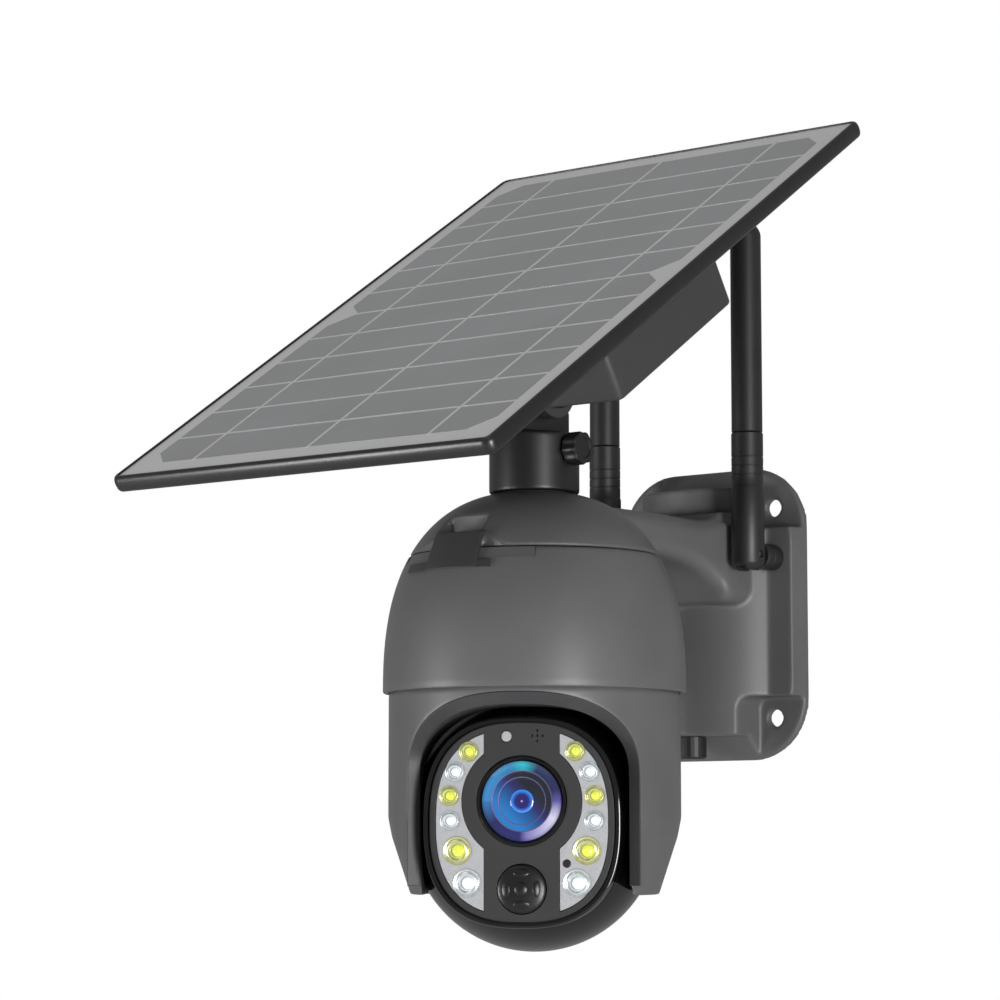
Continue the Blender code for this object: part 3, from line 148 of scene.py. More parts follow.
class PanelSizes(bpy.types.PropertyGroup):
    """Sizes of the solar panel's face."""

    half_width: FloatProperty(
        name="Cell half width", description="Half the width of the field of cells",
        default=89 * MM, min=10 * MM, unit="LENGTH")
    half_length: FloatProperty(
        name="Cell half length", description="Half the length of the field of cells",
        default=140.5 * MM, min=10 * MM, unit="LENGTH")
    rows: IntProperty(
        name="Rows in a group", description="Strips that one square cell was cut into",
        default=6, min=1, max=20)
    chamfer: FloatProperty(
        name="Corner", description="Cut corner of a square cell",
        default=9.5 * MM, min=0.0, unit="LENGTH")
    row_gap: FloatProperty(
        name="Row gap", description="Pale line between two strips",
        default=1.5 * MM, min=0.0, unit="LENGTH")
    busbar_pitch: FloatProperty(
        name="Busbar pitch", description="Distance between the three long busbars",
        default=62 * MM, min=MM, unit="LENGTH")


# ---------------------------------------------------------------- materials

def linear(hex_colour):
    """An sRGB hex colour as the linear colour that a shader takes."""
    channels = [int(hex_colour[i:i + 2], 16) / 255 for i in (1, 3, 5)]
    return (*(c / 12.92 if c <= 0.04045 else ((c + 0.055) / 1.055) ** 2.4
              for c in channels), 1.0)


def per_metre(millimetres):
    """Texture scale that gives features of about this size."""
    return 1000 / millimetres


def add(tree, kind, sockets=None, **settings):
    """Adds a node, sets its properties, and fills its sockets with values or links."""
    made = tree.nodes.new(kind)
    for name, value in settings.items():
        setattr(made, name, value)
    for name, value in (sockets or {}).items():
        if isinstance(value, bpy.types.NodeSocket):
            tree.links.new(value, made.inputs[name])
        else:
            made.inputs[name].default_value = value
    return made


def new_material(name, **values):
    """An empty material with a Principled BSDF, whose sockets take the given values."""
    made = bpy.data.materials.new(name)
    made.use_nodes = True
    shader = made.node_tree.nodes["Principled BSDF"]
    for socket, value in values.items():
        shader.inputs[socket.replace("_", " ")].default_value = value
    return made, made.node_tree, shader


def ramp(tree, factor, *stops):
    """A colour ramp with (position, colour) stops; a colour is four linear numbers."""
    made = add(tree, "ShaderNodeValToRGB", {"Fac": factor})
    elements = made.color_ramp.elements
    while len(elements) < len(stops):
        elements.new(1.0)
    for element, (position, colour) in zip(elements, stops):
        element.position = position
        element.color = colour
    return made.outputs["Color"]


def object_space(tree):
    return add(tree, "ShaderNodeTexCoord").outputs["Object"]


def noise(tree, size, detail=2.0):
    """Soft noise with features of this size, in millimetres."""
    made = add(tree, "ShaderNodeTexNoise", {"Vector": object_space(tree), "Detail": detail,
                                            "Scale": per_metre(size)})
    return made.outputs["Fac"]


def bumped(tree, shader, height, distance, strength, normal=None):
    """Stands the surface up by a height texture; distance is in metres."""
    bump = add(tree, "ShaderNodeBump", {"Height": height, "Distance": distance,
                                        "Strength": strength})
    if normal:
        tree.links.new(normal, bump.inputs["Normal"])
    tree.links.new(bump.outputs["Normal"], shader.inputs["Normal"])


def grey_level(value):
    return (value, value, value, 1.0)


def shaded(colour, share=1.0):
    """A colour, darkened to a share of itself, with its alpha."""
    return (*(Vector(colour[:3]) * share), 1.0)


def moulded(name, dark, light, rough_low, rough_high, grain, depth, rounded=0.0, **values):
    """Plastic from a mould: a slow tone change, a fine grain and uneven gloss.

    grain is the size of the mould's texture in millimetres, depth its height in metres, and
    rounded the radius that sharp edges are shaded with, in metres.
    """
    made, tree, shader = new_material(name, **values)
    tone = ramp(tree, noise(tree, 28, 4.0), (0.3, dark), (0.7, light))
    tree.links.new(tone, shader.inputs["Base Color"])
    fine = noise(tree, grain)
    gloss = add(tree, "ShaderNodeMapRange", {"Value": fine, "To Min": rough_low,
                                             "To Max": rough_high})
    tree.links.new(gloss.outputs["Result"], shader.inputs["Roughness"])
    edge = None
    if rounded:
        edge = add(tree, "ShaderNodeBevel", {"Radius": rounded}, samples=4).outputs["Normal"]
    bumped(tree, shader, fine, depth, 0.6, edge)
    return made


def satin_grey_asa():
    """ASA, injection moulded against a spark-eroded tool: a dry, even, slightly soft grey.

    The tool's grain is about 0.1 mm, too fine to show, so it is drawn at 0.5 mm.
    """
    grey = bpy.context.scene.camera_housing.grey
    return moulded("satin_moulded_asa", shaded(grey, 0.94), shaded(grey, 1.06),
                   0.36, 0.5, 0.5, 0.02 * MM, 0.5 * MM, IOR=1.5)


def lip_asa_painted_shade():
    """The housing's ASA in a darker, denser grey: painted shade on the arch's chamfered lip."""
    # Painted shade: the chamfered lip is one moulding with the yoke, drawn darker.
    return moulded("moulded_asa_painted_shade", linear("#3a3a3b"), linear("#404041"), 0.34, 0.46, 0.5,
                   0.012 * MM, 0.4 * MM, IOR=1.5)


def polished_black_abs():
    """ABS, moulded in a polished tool: deep black with sharp, clear reflections."""
    return moulded("polished_black_abs", linear("#060607"), linear("#0a0a0b"), 0.05, 0.09,
                   4.0, 0.004 * MM, 0.0, IOR=1.54)


def fine_matt_face():
    """Polycarbonate, screen printed dark grey on its front: flat, with a very soft sheen."""
    return moulded("printed_polycarbonate", linear("#262626"), linear("#2a2a2a"), 0.42, 0.5,
                   0.4, 0.006 * MM, 0.3 * MM, IOR=1.58)


def satin_black_nylon():
    """Nylon with glass fibre, moulded: near black, with faint mottling and a dull gloss."""
    return moulded("moulded_black_nylon", linear("#141414"), linear("#1a1a1a"), 0.34, 0.46,
                   0.6, 0.02 * MM, 0.4 * MM, IOR=1.53)


# On the front latch this charcoal stands for painted shade over the housing's grey plastic; the
# battery box is truly charcoal.
def satin_black_abs_and_latch_shade():
    """ABS, moulded in an etched tool: charcoal, even and dry, with faint light edges."""
    return moulded("satin_black_abs_and_latch_shade", linear("#343434"), linear("#393939"), 0.4, 0.52,
                   0.5, 0.02 * MM, 0.5 * MM, IOR=1.54)


def soft_black_elastomer():
    """Thermoplastic elastomer over a wire, moulded: black with a wide soft highlight."""
    return moulded("moulded_black_elastomer", linear("#1b1b1b"), linear("#212121"), 0.38, 0.5,
                   0.6, 0.02 * MM, 0.3 * MM, IOR=1.5)


def pressed_black_frame():
    """ABS, moulded with a semi-gloss tool: black edges with a bright thin line of light."""
    return moulded("semi_gloss_black_abs", linear("#161616"), linear("#1b1b1b"), 0.26, 0.36,
                   0.6, 0.012 * MM, 0.8 * MM, IOR=1.54)


def zinc_plate(name="zinc_plated_steel", tint="#b9bbc0", roughness=0.3):
    """Steel, turned then zinc plated: bright, slightly blue, with fine turning marks."""
    made, tree, shader = new_material(name, Metallic=1.0, Roughness=roughness)
    marks = noise(tree, 0.5, 3.0)
    tone = ramp(tree, marks, (0.35, shaded(linear(tint), 0.85)), (0.65, linear(tint)))
    tree.links.new(tone, shader.inputs["Base Color"])
    bumped(tree, shader, marks, 0.01 * MM, 0.5)
    return made


def turned_brass():
    """Brass, turned on a lathe: warm yellow metal with fine rings."""
    return zinc_plate("turned_brass", "#c9a45c", 0.28)


def white_acetal():
    """Acetal, cut and moulded gears: milky white with a waxy sheen."""
    return moulded("moulded_white_acetal", linear("#dedcd4"), linear("#e8e6df"), 0.32, 0.42,
                   0.6, 0.01 * MM, 0.2 * MM, IOR=1.48)


def solder_mask():
    """Epoxy glass board under green solder mask: glossy green with darker tracks."""
    made, tree, shader = new_material("green_solder_mask", Roughness=0.35, IOR=1.55)
    tracks = add(tree, "ShaderNodeTexBrick", {
        "Vector": object_space(tree), "Color1": linear("#0f5a31"), "Color2": linear("#12663a"),
        "Mortar": linear("#0a3f22"), "Scale": per_metre(4), "Mortar Size": 0.03})
    tree.links.new(tracks.outputs["Color"], shader.inputs["Base Color"])
    bumped(tree, shader, tracks.outputs["Fac"], 0.03 * MM, 0.4)
    return made


def prismatic_window():
    """Polycarbonate, moulded with fine prisms that spread light: pale grey and silky.

    The prisms are about 0.2 mm apart, and are drawn at 0.7 mm so that they show.
    """
    made, tree, shader = new_material("prismatic_polycarbonate", Roughness=0.3, IOR=1.58)
    prisms = add(tree, "ShaderNodeTexVoronoi", {"Vector": object_space(tree),
                                                "Scale": per_metre(0.7)}, feature="F1")
    tone = ramp(tree, prisms.outputs["Distance"], (0.0, linear("#b6b7ba")),
                (0.9, linear("#a4a5a8")))
    tree.links.new(tone, shader.inputs["Base Color"])
    bumped(tree, shader, prisms.outputs["Distance"], 0.05 * MM, 0.5)
    return made


def moulded_fresnel():
    """Polythene, moulded with shallow lenslets: black, smooth and a little waxy."""
    return moulded("black_polythene_lens", linear("#0a0a0b"), linear("#131314"), 0.3, 0.38,
                   1.2, 0.004 * MM, 0.0, IOR=1.51)


def shrink_sleeve():
    """Heat shrink sleeve over cells: glossy blue with slow ripples."""
    return moulded("heat_shrink_sleeve", linear("#1d5c8f"), linear("#2a6fa5"), 0.2, 0.32,
                   6.0, 0.1 * MM, 0.0, IOR=1.5)


def laminated_backsheet():
    """Pale film behind the cells, under rolled glass: even light grey with a clear coat."""
    return moulded("laminated_backsheet", linear("#cbcbcc"), linear("#d0d0d1"), 0.34, 0.4,
                   1.5, 0.004 * MM, 0.0, IOR=1.5, Coat_Weight=0.5, Coat_Roughness=0.12)


def printed_silicon():
    """Silicon cells under rolled glass, with screen printed silver fingers.

    The fingers run along the strips about 1.5 mm apart, and each is drawn 0.3 mm wide. The
    glass over them is the clear coat.
    """
    made, tree, shader = new_material("printed_silicon_cells", Roughness=0.36, IOR=1.5,
                                      Coat_Weight=0.6, Coat_Roughness=0.1)
    spacing, width = 1.5 * MM, 0.3 * MM
    turned_back = add(tree, "ShaderNodeMapping", {
        "Vector": object_space(tree), "Rotation": (-PANEL_ANGLE, 0.0, 0.0)}, vector_type="POINT")
    across = add(tree, "ShaderNodeSeparateXYZ", {"Vector": turned_back.outputs["Vector"]})
    share = add(tree, "ShaderNodeMath", {0: across.outputs["Y"], 1: spacing},
                operation="DIVIDE")
    step = add(tree, "ShaderNodeMath", {0: share.outputs[0]}, operation="FRACT")
    line = add(tree, "ShaderNodeMath", {0: step.outputs[0], 1: width / spacing},
               operation="LESS_THAN")
    silicon = ramp(tree, noise(tree, 60, 3.0), (0.35, linear("#8a8b8c")),
                   (0.65, linear("#929395")))
    mixed = add(tree, "ShaderNodeMix", {"Factor": line.outputs[0], 6: silicon,
                                        7: linear("#999a9c")}, data_type="RGBA")
    tree.links.new(mixed.outputs[2], shader.inputs["Base Color"])
    bumped(tree, shader, line.outputs[0], 0.01 * MM, 0.4)
    return made


def tinned_ribbon():
    """Copper ribbon, dipped in tin: soft silver lines under the glass."""
    made = zinc_plate("tinned_ribbon", "#d9d9da", 0.5)
    made.node_tree.nodes["Principled BSDF"].inputs["Metallic"].default_value = 0.3
    return made


MATERIALS = {}


def finish(maker):
    """The material that a function makes, made once."""
    if maker not in MATERIALS:
        MATERIALS[maker] = maker()
    return MATERIALS[maker]


# ---------------------------------------------------------------- outlines and meshes

def arc(radius, start, end, steps, centre=(0.0, 0.0)):
    """Points on an arc from start to end, in degrees, both ends included."""
    angles = [math.radians(start + (end - start) * i / steps) for i in range(steps + 1)]
    return [(centre[0] + radius * math.cos(a), centre[1] + radius * math.sin(a)) for a in angles]


def rounded_rectangle(half_x, half_y, radius, steps=8, centre=(0.0, 0.0)):
    x, y = half_x - radius, half_y - radius
    points = []
    for index, (sx, sy) in enumerate(((1, 1), (-1, 1), (-1, -1), (1, -1))):
        corner = (centre[0] + sx * x, centre[1] + sy * y)
        points += arc(radius, 90 * index, 90 * index + 90, steps, corner)
    return points


OVAL_POWER = 2.55            # how square the face's oval is; 2 is an ellipse
SHARP = math.radians(32)     # a corner turns more than this, a curve's steps turn less


def oval(half_x, half_y, steps=160, centre_y=0.0):
    """A superellipse, evenly stepped enough for a smooth rim."""
    power = OVAL_POWER
    points = []
    for i in range(steps):
        a = 2 * math.pi * i / steps
        c, s = math.cos(a), math.sin(a)
        reach = (abs(c / half_x) ** power + abs(s / half_y) ** power) ** (-1 / power)
        points.append((reach * c, centre_y + reach * s))
    return points


def dome_line(low, high, inset, steps):
    """(radius, z) points up the dome's outline, from one height to another."""
    sizes = bpy.context.scene.camera_housing
    radius, height = sizes.dome_radius - inset, sizes.dome_height - inset

    def radius_at(z):
        return radius * max(0.0, 1 - (z / height) ** sizes.dome_power) ** (1 / sizes.dome_power)

    start, end = math.acos(radius_at(low) / radius), math.acos(radius_at(high) / radius)
    points = []
    for i in range(steps + 1):
        r = radius * math.cos(start + (end - start) * i / steps)
        share = max(0.0, 1 - (r / radius) ** sizes.dome_power)
        points.append((r, height * share ** (1 / sizes.dome_power)))
    points[0], points[-1] = (points[0][0], low), (points[-1][0], high)
    return points


def add_object(name, mesh_data, look=None, matrix=None):
    """An object from a bmesh, with its faces turned out and round faces shaded smooth."""
    bmesh.ops.remove_doubles(mesh_data, verts=mesh_data.verts, dist=1e-7)
    bmesh.ops.recalc_face_normals(mesh_data, faces=mesh_data.faces)
    if matrix is not None:
        mesh_data.transform(matrix)
    mesh = bpy.data.meshes.new(name)
    mesh_data.to_mesh(mesh)
    mesh_data.free()
    mesh.shade_smooth()
    mesh.set_sharp_from_angle(angle=SHARP)
    if look is not None:
        mesh.materials.append(look)
    obj = bpy.data.objects.new(name, mesh)
    bpy.context.scene.collection.objects.link(obj)
    return obj


def loft(rings):
    """Rings of equal length bridged in order, with both ends closed."""
    mesh = bmesh.new()
    rows = [[mesh.verts.new(point) for point in ring] for ring in rings]
    count = len(rows[0])
    for lower, upper in zip(rows, rows[1:]):
        for i in range(count):
            j = (i + 1) % count
            mesh.faces.new((lower[i], lower[j], upper[j], upper[i]))
    mesh.faces.new(rows[0][::-1])
    mesh.faces.new(rows[-1])
    return mesh


def prism(outline, low, high):
    return loft([[(x, y, z) for x, y in outline] for z in (low, high)])


def joined(parts):
    """Several bmeshes as one."""
    whole = bmesh.new()
    for part in parts:
        mesh = bpy.data.meshes.new("part")
        part.to_mesh(mesh)
        part.free()
        whole.from_mesh(mesh)
        bpy.data.meshes.remove(mesh)
    return whole


def lathe(profile, steps=96):
    """A closed (radius, z) profile turned about Z."""
    mesh = bmesh.new()
    verts = [mesh.verts.new((r, 0, z)) for r, z in profile]
    edges = [mesh.edges.new((verts[i], verts[(i + 1) % len(verts)])) for i in range(len(verts))]
    bmesh.ops.spin(mesh, geom=verts + edges, cent=(0, 0, 0), axis=(0, 0, 1),
                   angle=2 * math.pi, steps=steps, use_merge=True)
    bmesh.ops.remove_doubles(mesh, verts=mesh.verts, dist=1e-7)
    lone = [edge for edge in mesh.edges if not edge.link_faces]
    bmesh.ops.delete(mesh, geom=lone, context="EDGES")
    return mesh


def rod(radius, low, high):
    return [(0, low), (radius, low), (radius, high), (0, high)]


def bore(radius, low, high, steps=40):
    """A round cutter or boss along Z."""
    return lathe(rod(radius, low, high), steps)


def crown(radius, rise, base, steps, first=0):
    """The end of a profile: a quarter ellipse from its edge up to the axis."""
    angles = [math.pi / 2 * i / steps for i in range(first, steps + 1)]
    return [(radius * math.cos(a), base + rise * math.sin(a)) for a in angles]


def soft_edges(obj, width, segments=3):
    """Rounds the sharp edges of a clean mesh."""
    bevel = obj.modifiers.new("rounded edges", "BEVEL")
    bevel.width = width
    bevel.segments = segments
    bevel.limit_method = "ANGLE"
    bevel.angle_limit = math.radians(40)
    bevel.use_clamp_overlap = True
    return obj


def tool(mesh_data, matrix=None):
    """A hidden shape that adds to another shape or cuts it."""
    made = add_object("tool", mesh_data, None, matrix)
    made.hide_render = True
    return made


def shaped(name, base, look, joins=(), cuts=(), grid=None, rounds=6):
    """One mesh from a base shape, shapes joined to it and shapes cut from it.

    With a grid the result is remeshed to that size and relaxed, which rounds every edge and
    fills every corner as a mould does.
    """
    work = tool(base[0], base[1])
    tools = [(tool(*shape), "UNION") for shape in joins]
    tools += [(tool(*shape), "DIFFERENCE") for shape in cuts]
    for other, operation in tools:
        step = work.modifiers.new("step", "BOOLEAN")
        step.operation, step.object, step.solver = operation, other, "MANIFOLD"
    if grid:
        remesh = work.modifiers.new("grid", "REMESH")
        remesh.mode, remesh.voxel_size = "VOXEL", grid
        relax = work.modifiers.new("relax", "SMOOTH")
        relax.factor, relax.iterations = 0.5, rounds
    graph = bpy.context.evaluated_depsgraph_get()
    mesh = bpy.data.meshes.new_from_object(work.evaluated_get(graph))
    if not mesh.polygons:
        raise RuntimeError(f"{name} came out empty")
    for other in [work] + [other for other, _ in tools]:
        bpy.data.objects.remove(other, do_unlink=True)
    mesh.name = name
    mesh.materials.clear()
    mesh.materials.append(look)
    mesh.shade_smooth()
    if not grid:
        mesh.set_sharp_from_angle(angle=SHARP)
    made = bpy.data.objects.new(name, mesh)
    bpy.context.scene.collection.objects.link(made)
    return made


def place(obj, body, slot, *nodes):
    """The piece rides on a body and stands for the CAD nodes, which it hides. slot is not used."""
    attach(obj, body)
    if nodes:
        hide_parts(*nodes)
    return obj


def dress(look, *nodes):
    """Gives CAD nodes a finish and smooth shading; their shape stays."""
    for name in nodes:
        mesh = frame["nodes"][name].data
        mesh.materials.clear()
        mesh.materials.append(look)
        mesh.shade_smooth()
        mesh.set_sharp_from_angle(angle=SHARP)


# ---------------------------------------------------------------- housing

WALL_AT = -PAN_AT.y          # from the pan axis to the wall
BOX_CENTRE = 40.3 * MM       # the wall box's middle above the dome's rim
PLATE_HALF_X, PLATE_HALF_Z = 50.3 * MM, 65.8 * MM
SCREW_X, SCREW_Z, SCREW_HOLE = 34 * MM, 47.2 * MM, 3.9 * MM
OUTSIDE = 70 * MM            # a radius beyond the dome's skin
SEAM = 57.5 * MM             # where the skirt meets the top housing
SPIGOT_RADIUS = 14.6 * MM
POCKET_X = 26 * MM
ANTENNA_X = 39.5 * MM
ANTENNA_Z = 64 * MM
LAND_DEPTH = 12 * MM
BULGE_DEPTH = 30 * MM
BULGE_HALF_X = 36.5 * MM


def eased_rows(rows, steps):
    """Rows of numbers joined by smooth curves, with the given number of steps in each gap."""
    made = []
    for i in range(len(rows) - 1):
        before, start = rows[max(i - 1, 0)], rows[i]
        end, after = rows[i + 1], rows[min(i + 2, len(rows) - 1)]
        for step in range(steps):
            t = step / steps
            made.append([0.5 * (2 * b + (c - a) * t + (2 * a - 5 * b + 4 * c - d) * t * t
                                + (3 * b - a - 3 * c + d) * t ** 3)
                         for a, b, c, d in zip(before, start, end, after)])
    return made + [list(rows[-1])]


def arm_sections(inset):
    """Sections of the arm from the pan axis to the wall box, flaring as it arrives."""
    stations = ((0, 25.5, 65, 79.5), (30, 27, 63, 80), (60, 27, 61.5, 80), (78, 27.3, 59, 79.5),
                (88, 28, 55.5, 79.5), (96, 29.5, 49.5, 81), (102, 31, 43.5, 84),
                (118, 31, 43.5, 84))
    rings = []
    for y, half, low, high in eased_rows(stations, 4):
        bottom, top = low * MM + inset, high * MM - inset
        half_x = min(half * MM, POCKET_X) - inset if inset else half * MM
        ring = rounded_rectangle(half_x, (top - bottom) / 2, max(6.5 * MM - inset, MM),
                                 6, (0, (top + bottom) / 2))
        rings.append([(x, y * MM, z) for x, z in ring])
    return rings


def box_rings(*steps):
    """The wall box's rounded outline at some depths: (depth, half width, half height, corner)."""
    rings = []
    for depth, half_x, half_z, corner in steps:
        ring = rounded_rectangle(half_x, half_z, corner, 14, (0, BOX_CENTRE))
        rings.append([(x, WALL_AT - depth, z) for x, z in ring])
    return rings


def bulge_section(inset, half_width):
    """The wall box's raised middle from above: short sides and one broad round front."""
    half, rise = half_width - inset, BULGE_DEPTH - LAND_DEPTH
    radius = (half ** 2 + rise ** 2) / (2 * rise)
    reach = math.degrees(math.asin(half / radius))
    return ([(half, 0)] + arc(radius, 90 - reach, 90 + reach, 48,
                              (0, BULGE_DEPTH - inset - radius)) + [(-half, 0)])


def upright(outline, low, high):
    return loft([[(x, WALL_AT - depth, z) for x, depth in outline] for z in (low, high)])


def cross_outline(narrow, wide, rows):
    """Half widths swap between narrow, wide and narrow at four heights."""
    bottom, mid_bottom, mid_top, top = rows
    right = [(narrow, bottom), (narrow, mid_bottom), (wide, mid_bottom), (wide, mid_top),
             (narrow, mid_top), (narrow, top)]
    return right + [(-x, z) for x, z in reversed(right)]


class CAMERA_OT_top_housing(bpy.types.Operator):
    """Cap, arm and wall box, moulded in one grey piece with rounded edges"""

    bl_idname = "security_camera.top_housing"
    bl_label = "Top housing"

    def execute(self, context):
        wall = context.scene.camera_housing.wall
        low = SEAM + CLEARANCE
        shoulder = 84 * MM
        cap = [(0, low)] + dome_line(low, shoulder, 0, 24) + [
            (SPIGOT_RADIUS, shoulder), (SPIGOT_RADIUS, 106 * MM), (0, 106 * MM)]
        joins = [
            (loft(arm_sections(0)), DOME),
            (loft(box_rings((0, PLATE_HALF_X, PLATE_HALF_Z, 29 * MM),
                            (3 * MM, PLATE_HALF_X, PLATE_HALF_Z, 29 * MM),
                            (LAND_DEPTH, 48.8 * MM, 55.8 * MM, 25 * MM))), DOME),
            (upright(bulge_section(0, BULGE_HALF_X), -15 * MM, 96 * MM), DOME),
        ]
        inner = dome_line(low, shoulder - 2 * wall, wall, 16)
        cuts = [
            (lathe([(0, low - wall), (inner[0][0], low - wall)] + inner + [
                (SPIGOT_RADIUS - wall, shoulder - 2 * wall),
                (SPIGOT_RADIUS - wall, 103.5 * MM), (0, 103.5 * MM)]), DOME),
            (loft(arm_sections(wall)), DOME),
            (upright(bulge_section(wall, BULGE_HALF_X - 4 * MM), 5 * MM, 75.5 * MM), DOME),
            (loft([[(x, WALL_AT - depth, z) for x, z in cross_outline(
                POCKET_X - wall + CLEARANCE, 42.3 * MM, (-12.8 * MM, 4.7 * MM, 75.8 * MM,
                                                         93.8 * MM))]
                for depth in (-MM, 2.7 * MM)]), DOME),
            (bore(5 * MM, -10 * MM, 10 * MM, 96),
             DOME @ moved(0, WALL_AT - 20 * MM, -15 * MM)),
        ] + [(pocket, DOME) for pocket in latch_pockets()]
        reach = 60 * MM
        for side in (-1, 1):
            for centre, out in ((78 * MM, 1), (2.5 * MM, -1)):
                ring = rounded_rectangle(reach, reach, 5 * MM, 10,
                                         (side * (POCKET_X + reach), centre + out * reach))
                cuts.append((loft([[(x, WALL_AT - depth, z) for x, z in ring]
                                   for depth in (4 * MM, 40 * MM)]), DOME))
                hole = moved(side * SCREW_X, WALL_AT - 5 * MM, BOX_CENTRE + out * SCREW_Z)
                cuts.append((bore(SCREW_HOLE, -5 * MM, 10 * MM, 48), DOME @ hole @ ALONG_Y))
            seat = DOME @ moved(side * ANTENNA_X, WALL_AT, ANTENNA_Z) @ FACING
            cuts.append((bore(6.4 * MM, LAND_DEPTH, 40 * MM, 64), seat))
            cuts.append((bore(3.5 * MM, 3.4 * MM, 20 * MM, 48), seat))
        made = shaped("grey_top_housing", (lathe(cap, 160), DOME), finish(satin_grey_asa), joins,
                      cuts, context.scene.camera_housing.rounding, 5)
        place(made, "root", "housing", "top_housing")
        dress(finish(satin_grey_asa), "back_cover")
        dress(finish(zinc_plate), *(f"back_cover_screw_{i}" for i in range(1, 5)))
        dress(finish(soft_black_elastomer), "cable_port_plug")
        return {"FINISHED"}


class CAMERA_OT_dome_skirt(bpy.types.Operator):
    """The round shell under the seam, with a rim, an inner ledge and two finger pockets"""

    bl_idname = "security_camera.dome_skirt"
    bl_label = "Dome skirt"

    def execute(self, context):
        wall = context.scene.camera_housing.wall
        rim = 0.8 * MM
        outer = dome_line(rim, SEAM - 0.5 * MM, 0, 40)
        radius = context.scene.camera_housing.dome_radius
        inner = dome_line(0, SEAM, wall, 40)
        ledge = 19.7 * MM
        inside = [p for p in inner if p[1] > ledge + MM]
        below = [p for p in inner if p[1] < ledge - 4 * MM]
        ledge_radius = inside[0][0]
        profile = ([(radius - rim * 0.7, 0), (radius - rim * 0.25, rim * 0.3)] + outer
                   + [(outer[-1][0] - 0.8 * MM, SEAM)] + inside[::-1]
                   + [(ledge_radius, ledge), (ledge_radius - 3 * MM, ledge),
                      (ledge_radius - 3 * MM, ledge - 1.2 * MM),
                      (ledge_radius, ledge - 4.2 * MM)] + below[::-1])
        low, high = 53.3 * MM, 60 * MM
        pocket = [(dome_radius_at(low) - 0.1 * MM, low), (OUTSIDE, low), (OUTSIDE, high),
                  (dome_radius_at(SEAM) - 2.1 * MM, high)]
        made = shaped("grey_dome_skirt", (lathe(profile, 160), DOME), finish(satin_grey_asa), (),
                      [(around_front(start, end, pocket), DOME)
                       for start, end in ((-39, -10), (12, 39))])
        place(made, "root", "housing", "dome_skirt")
        return {"FINISHED"}


def dome_radius_at(z):
    return dome_line(z, z + MM, 0, 1)[0][0]


def swept(*stations):
    """A solid through upright outlines: (angle from the front in degrees, (radius, z) points)."""
    rings = []
    for angle, outline in stations:
        turn = math.radians(angle)
        rings.append([(r * math.sin(turn), -r * math.cos(turn), z) for r, z in outline])
    return loft(rings)


def around_front(start, end, outline, steps=24):
    return swept(*((start + (end - start) * i / steps, outline) for i in range(steps + 1)))


def latch_pockets():
    """Cuts with upright back walls: a well above the latch, and a fin-shaped step each side."""
    low, high = 62 * MM, 72.5 * MM
    back = dome_radius_at(high)
    cuts = [around_front(-18, 12, [(back, low), (OUTSIDE, low), (OUTSIDE, high), (back, high)])]
    for start, end, tall in ((-12, -33, 6.5 * MM), (13, 26, 6 * MM)):
        stations = []
        for i in range(13):
            top = SEAM + tall * (1 - i / 12) ** 0.8 + 0.3 * MM
            back = dome_radius_at(top)
            stations.append((start + (end - start) * i / 12, [
                (back, SEAM), (OUTSIDE, SEAM), (OUTSIDE, top), (back, top)]))
        cuts.append(swept(*stations))
    return cuts


class CAMERA_OT_front_latch(bpy.types.Operator):
    """The catch at the front: an upright apron over the seam, on a longer foot strip"""

    bl_idname = "security_camera.front_latch"
    bl_label = "Front latch"

    def execute(self, context):
        skin, seam = 0.35 * MM, dome_radius_at(SEAM)
        foot, face = [(z * MM, dome_radius_at(z * MM)) for z in (49, 52.5)], seam + 1.6 * MM
        strip = [(radius + skin, z) for z, radius in foot] + [
            (radius + 1.3 * MM, z) for z, radius in foot[::-1]]
        top = 64.5 * MM
        apron = [(radius + 0.1 * MM + skin, z) for z, radius in foot] + [
            (seam + skin, SEAM - 0.5 * MM), (seam - 2 * MM, SEAM + 4 * MM),
            (dome_radius_at(top) - 1.5 * MM, top), (seam - 0.6 * MM, top),
            (face, SEAM + 2 * MM), (foot[1][1] + 1.9 * MM, foot[1][0]),
            (foot[0][1] + 1.5 * MM, foot[0][0] + 0.3 * MM)]
        # The latch is the housing's grey plastic; its darker charcoal is painted shade.
        made = shaped("front_latch_painted_shade", (around_front(-12, 14, apron), DOME),
                      finish(satin_black_abs_and_latch_shade), [(around_front(-26.5, 20, strip), DOME)])
        soft_edges(made, 0.25 * MM, 2)
        place(made, "root", "black_plastic", "front_latch")
        self.seat()
        return {"FINISHED"}

    def seat(self):
        """The thick part of the cap that the latch's pockets are cut into."""
        inner, low, high = 36 * MM, SEAM + 0.6 * MM, 72.2 * MM
        heights = [low + (high - low) * i / 8 for i in range(9)]
        section = [(dome_radius_at(z) - 0.3 * MM, z) for z in heights]
        section += [(inner, high), (inner, low)]
        made = shaped("grey_latch_seat", (around_front(-36, 36, section), DOME),
                      finish(satin_grey_asa), (), [(pocket, DOME) for pocket in latch_pockets()])
        place(made, "root", "housing")


# ---------------------------------------------------------------- yoke and ball

YOKE_RADIUS = 61.5 * MM
BALL_RADIUS = 52.5 * MM
BALL_WALL = 2.4 * MM
FACE_AT = 45 * MM
FACE_HALF_X = 38.1 * MM
FACE_HALF_Z = 40.6 * MM
FACE_MIDDLE = 1 * MM
TILT_Z = -55.3 * MM
AXLE_BORE = 5.3 * MM


def arch(grow):
    """The yoke's opening seen from the front: straight sides under a flattened arch."""
    side_z, top = -36 * MM, -6.5 * MM
    half = 43.3 * MM + grow
    rise = top - side_z + grow
    points = [(half, -94 * MM)]
    steps = 64
    for i in range(steps + 1):
        a = math.pi * i / steps
        c, s = math.cos(a), math.sin(a)
        points.append((half * math.copysign(abs(c) ** 0.8, c),
                       side_z + rise * abs(s) ** 0.8))
    return points + [(-half, -94 * MM)]


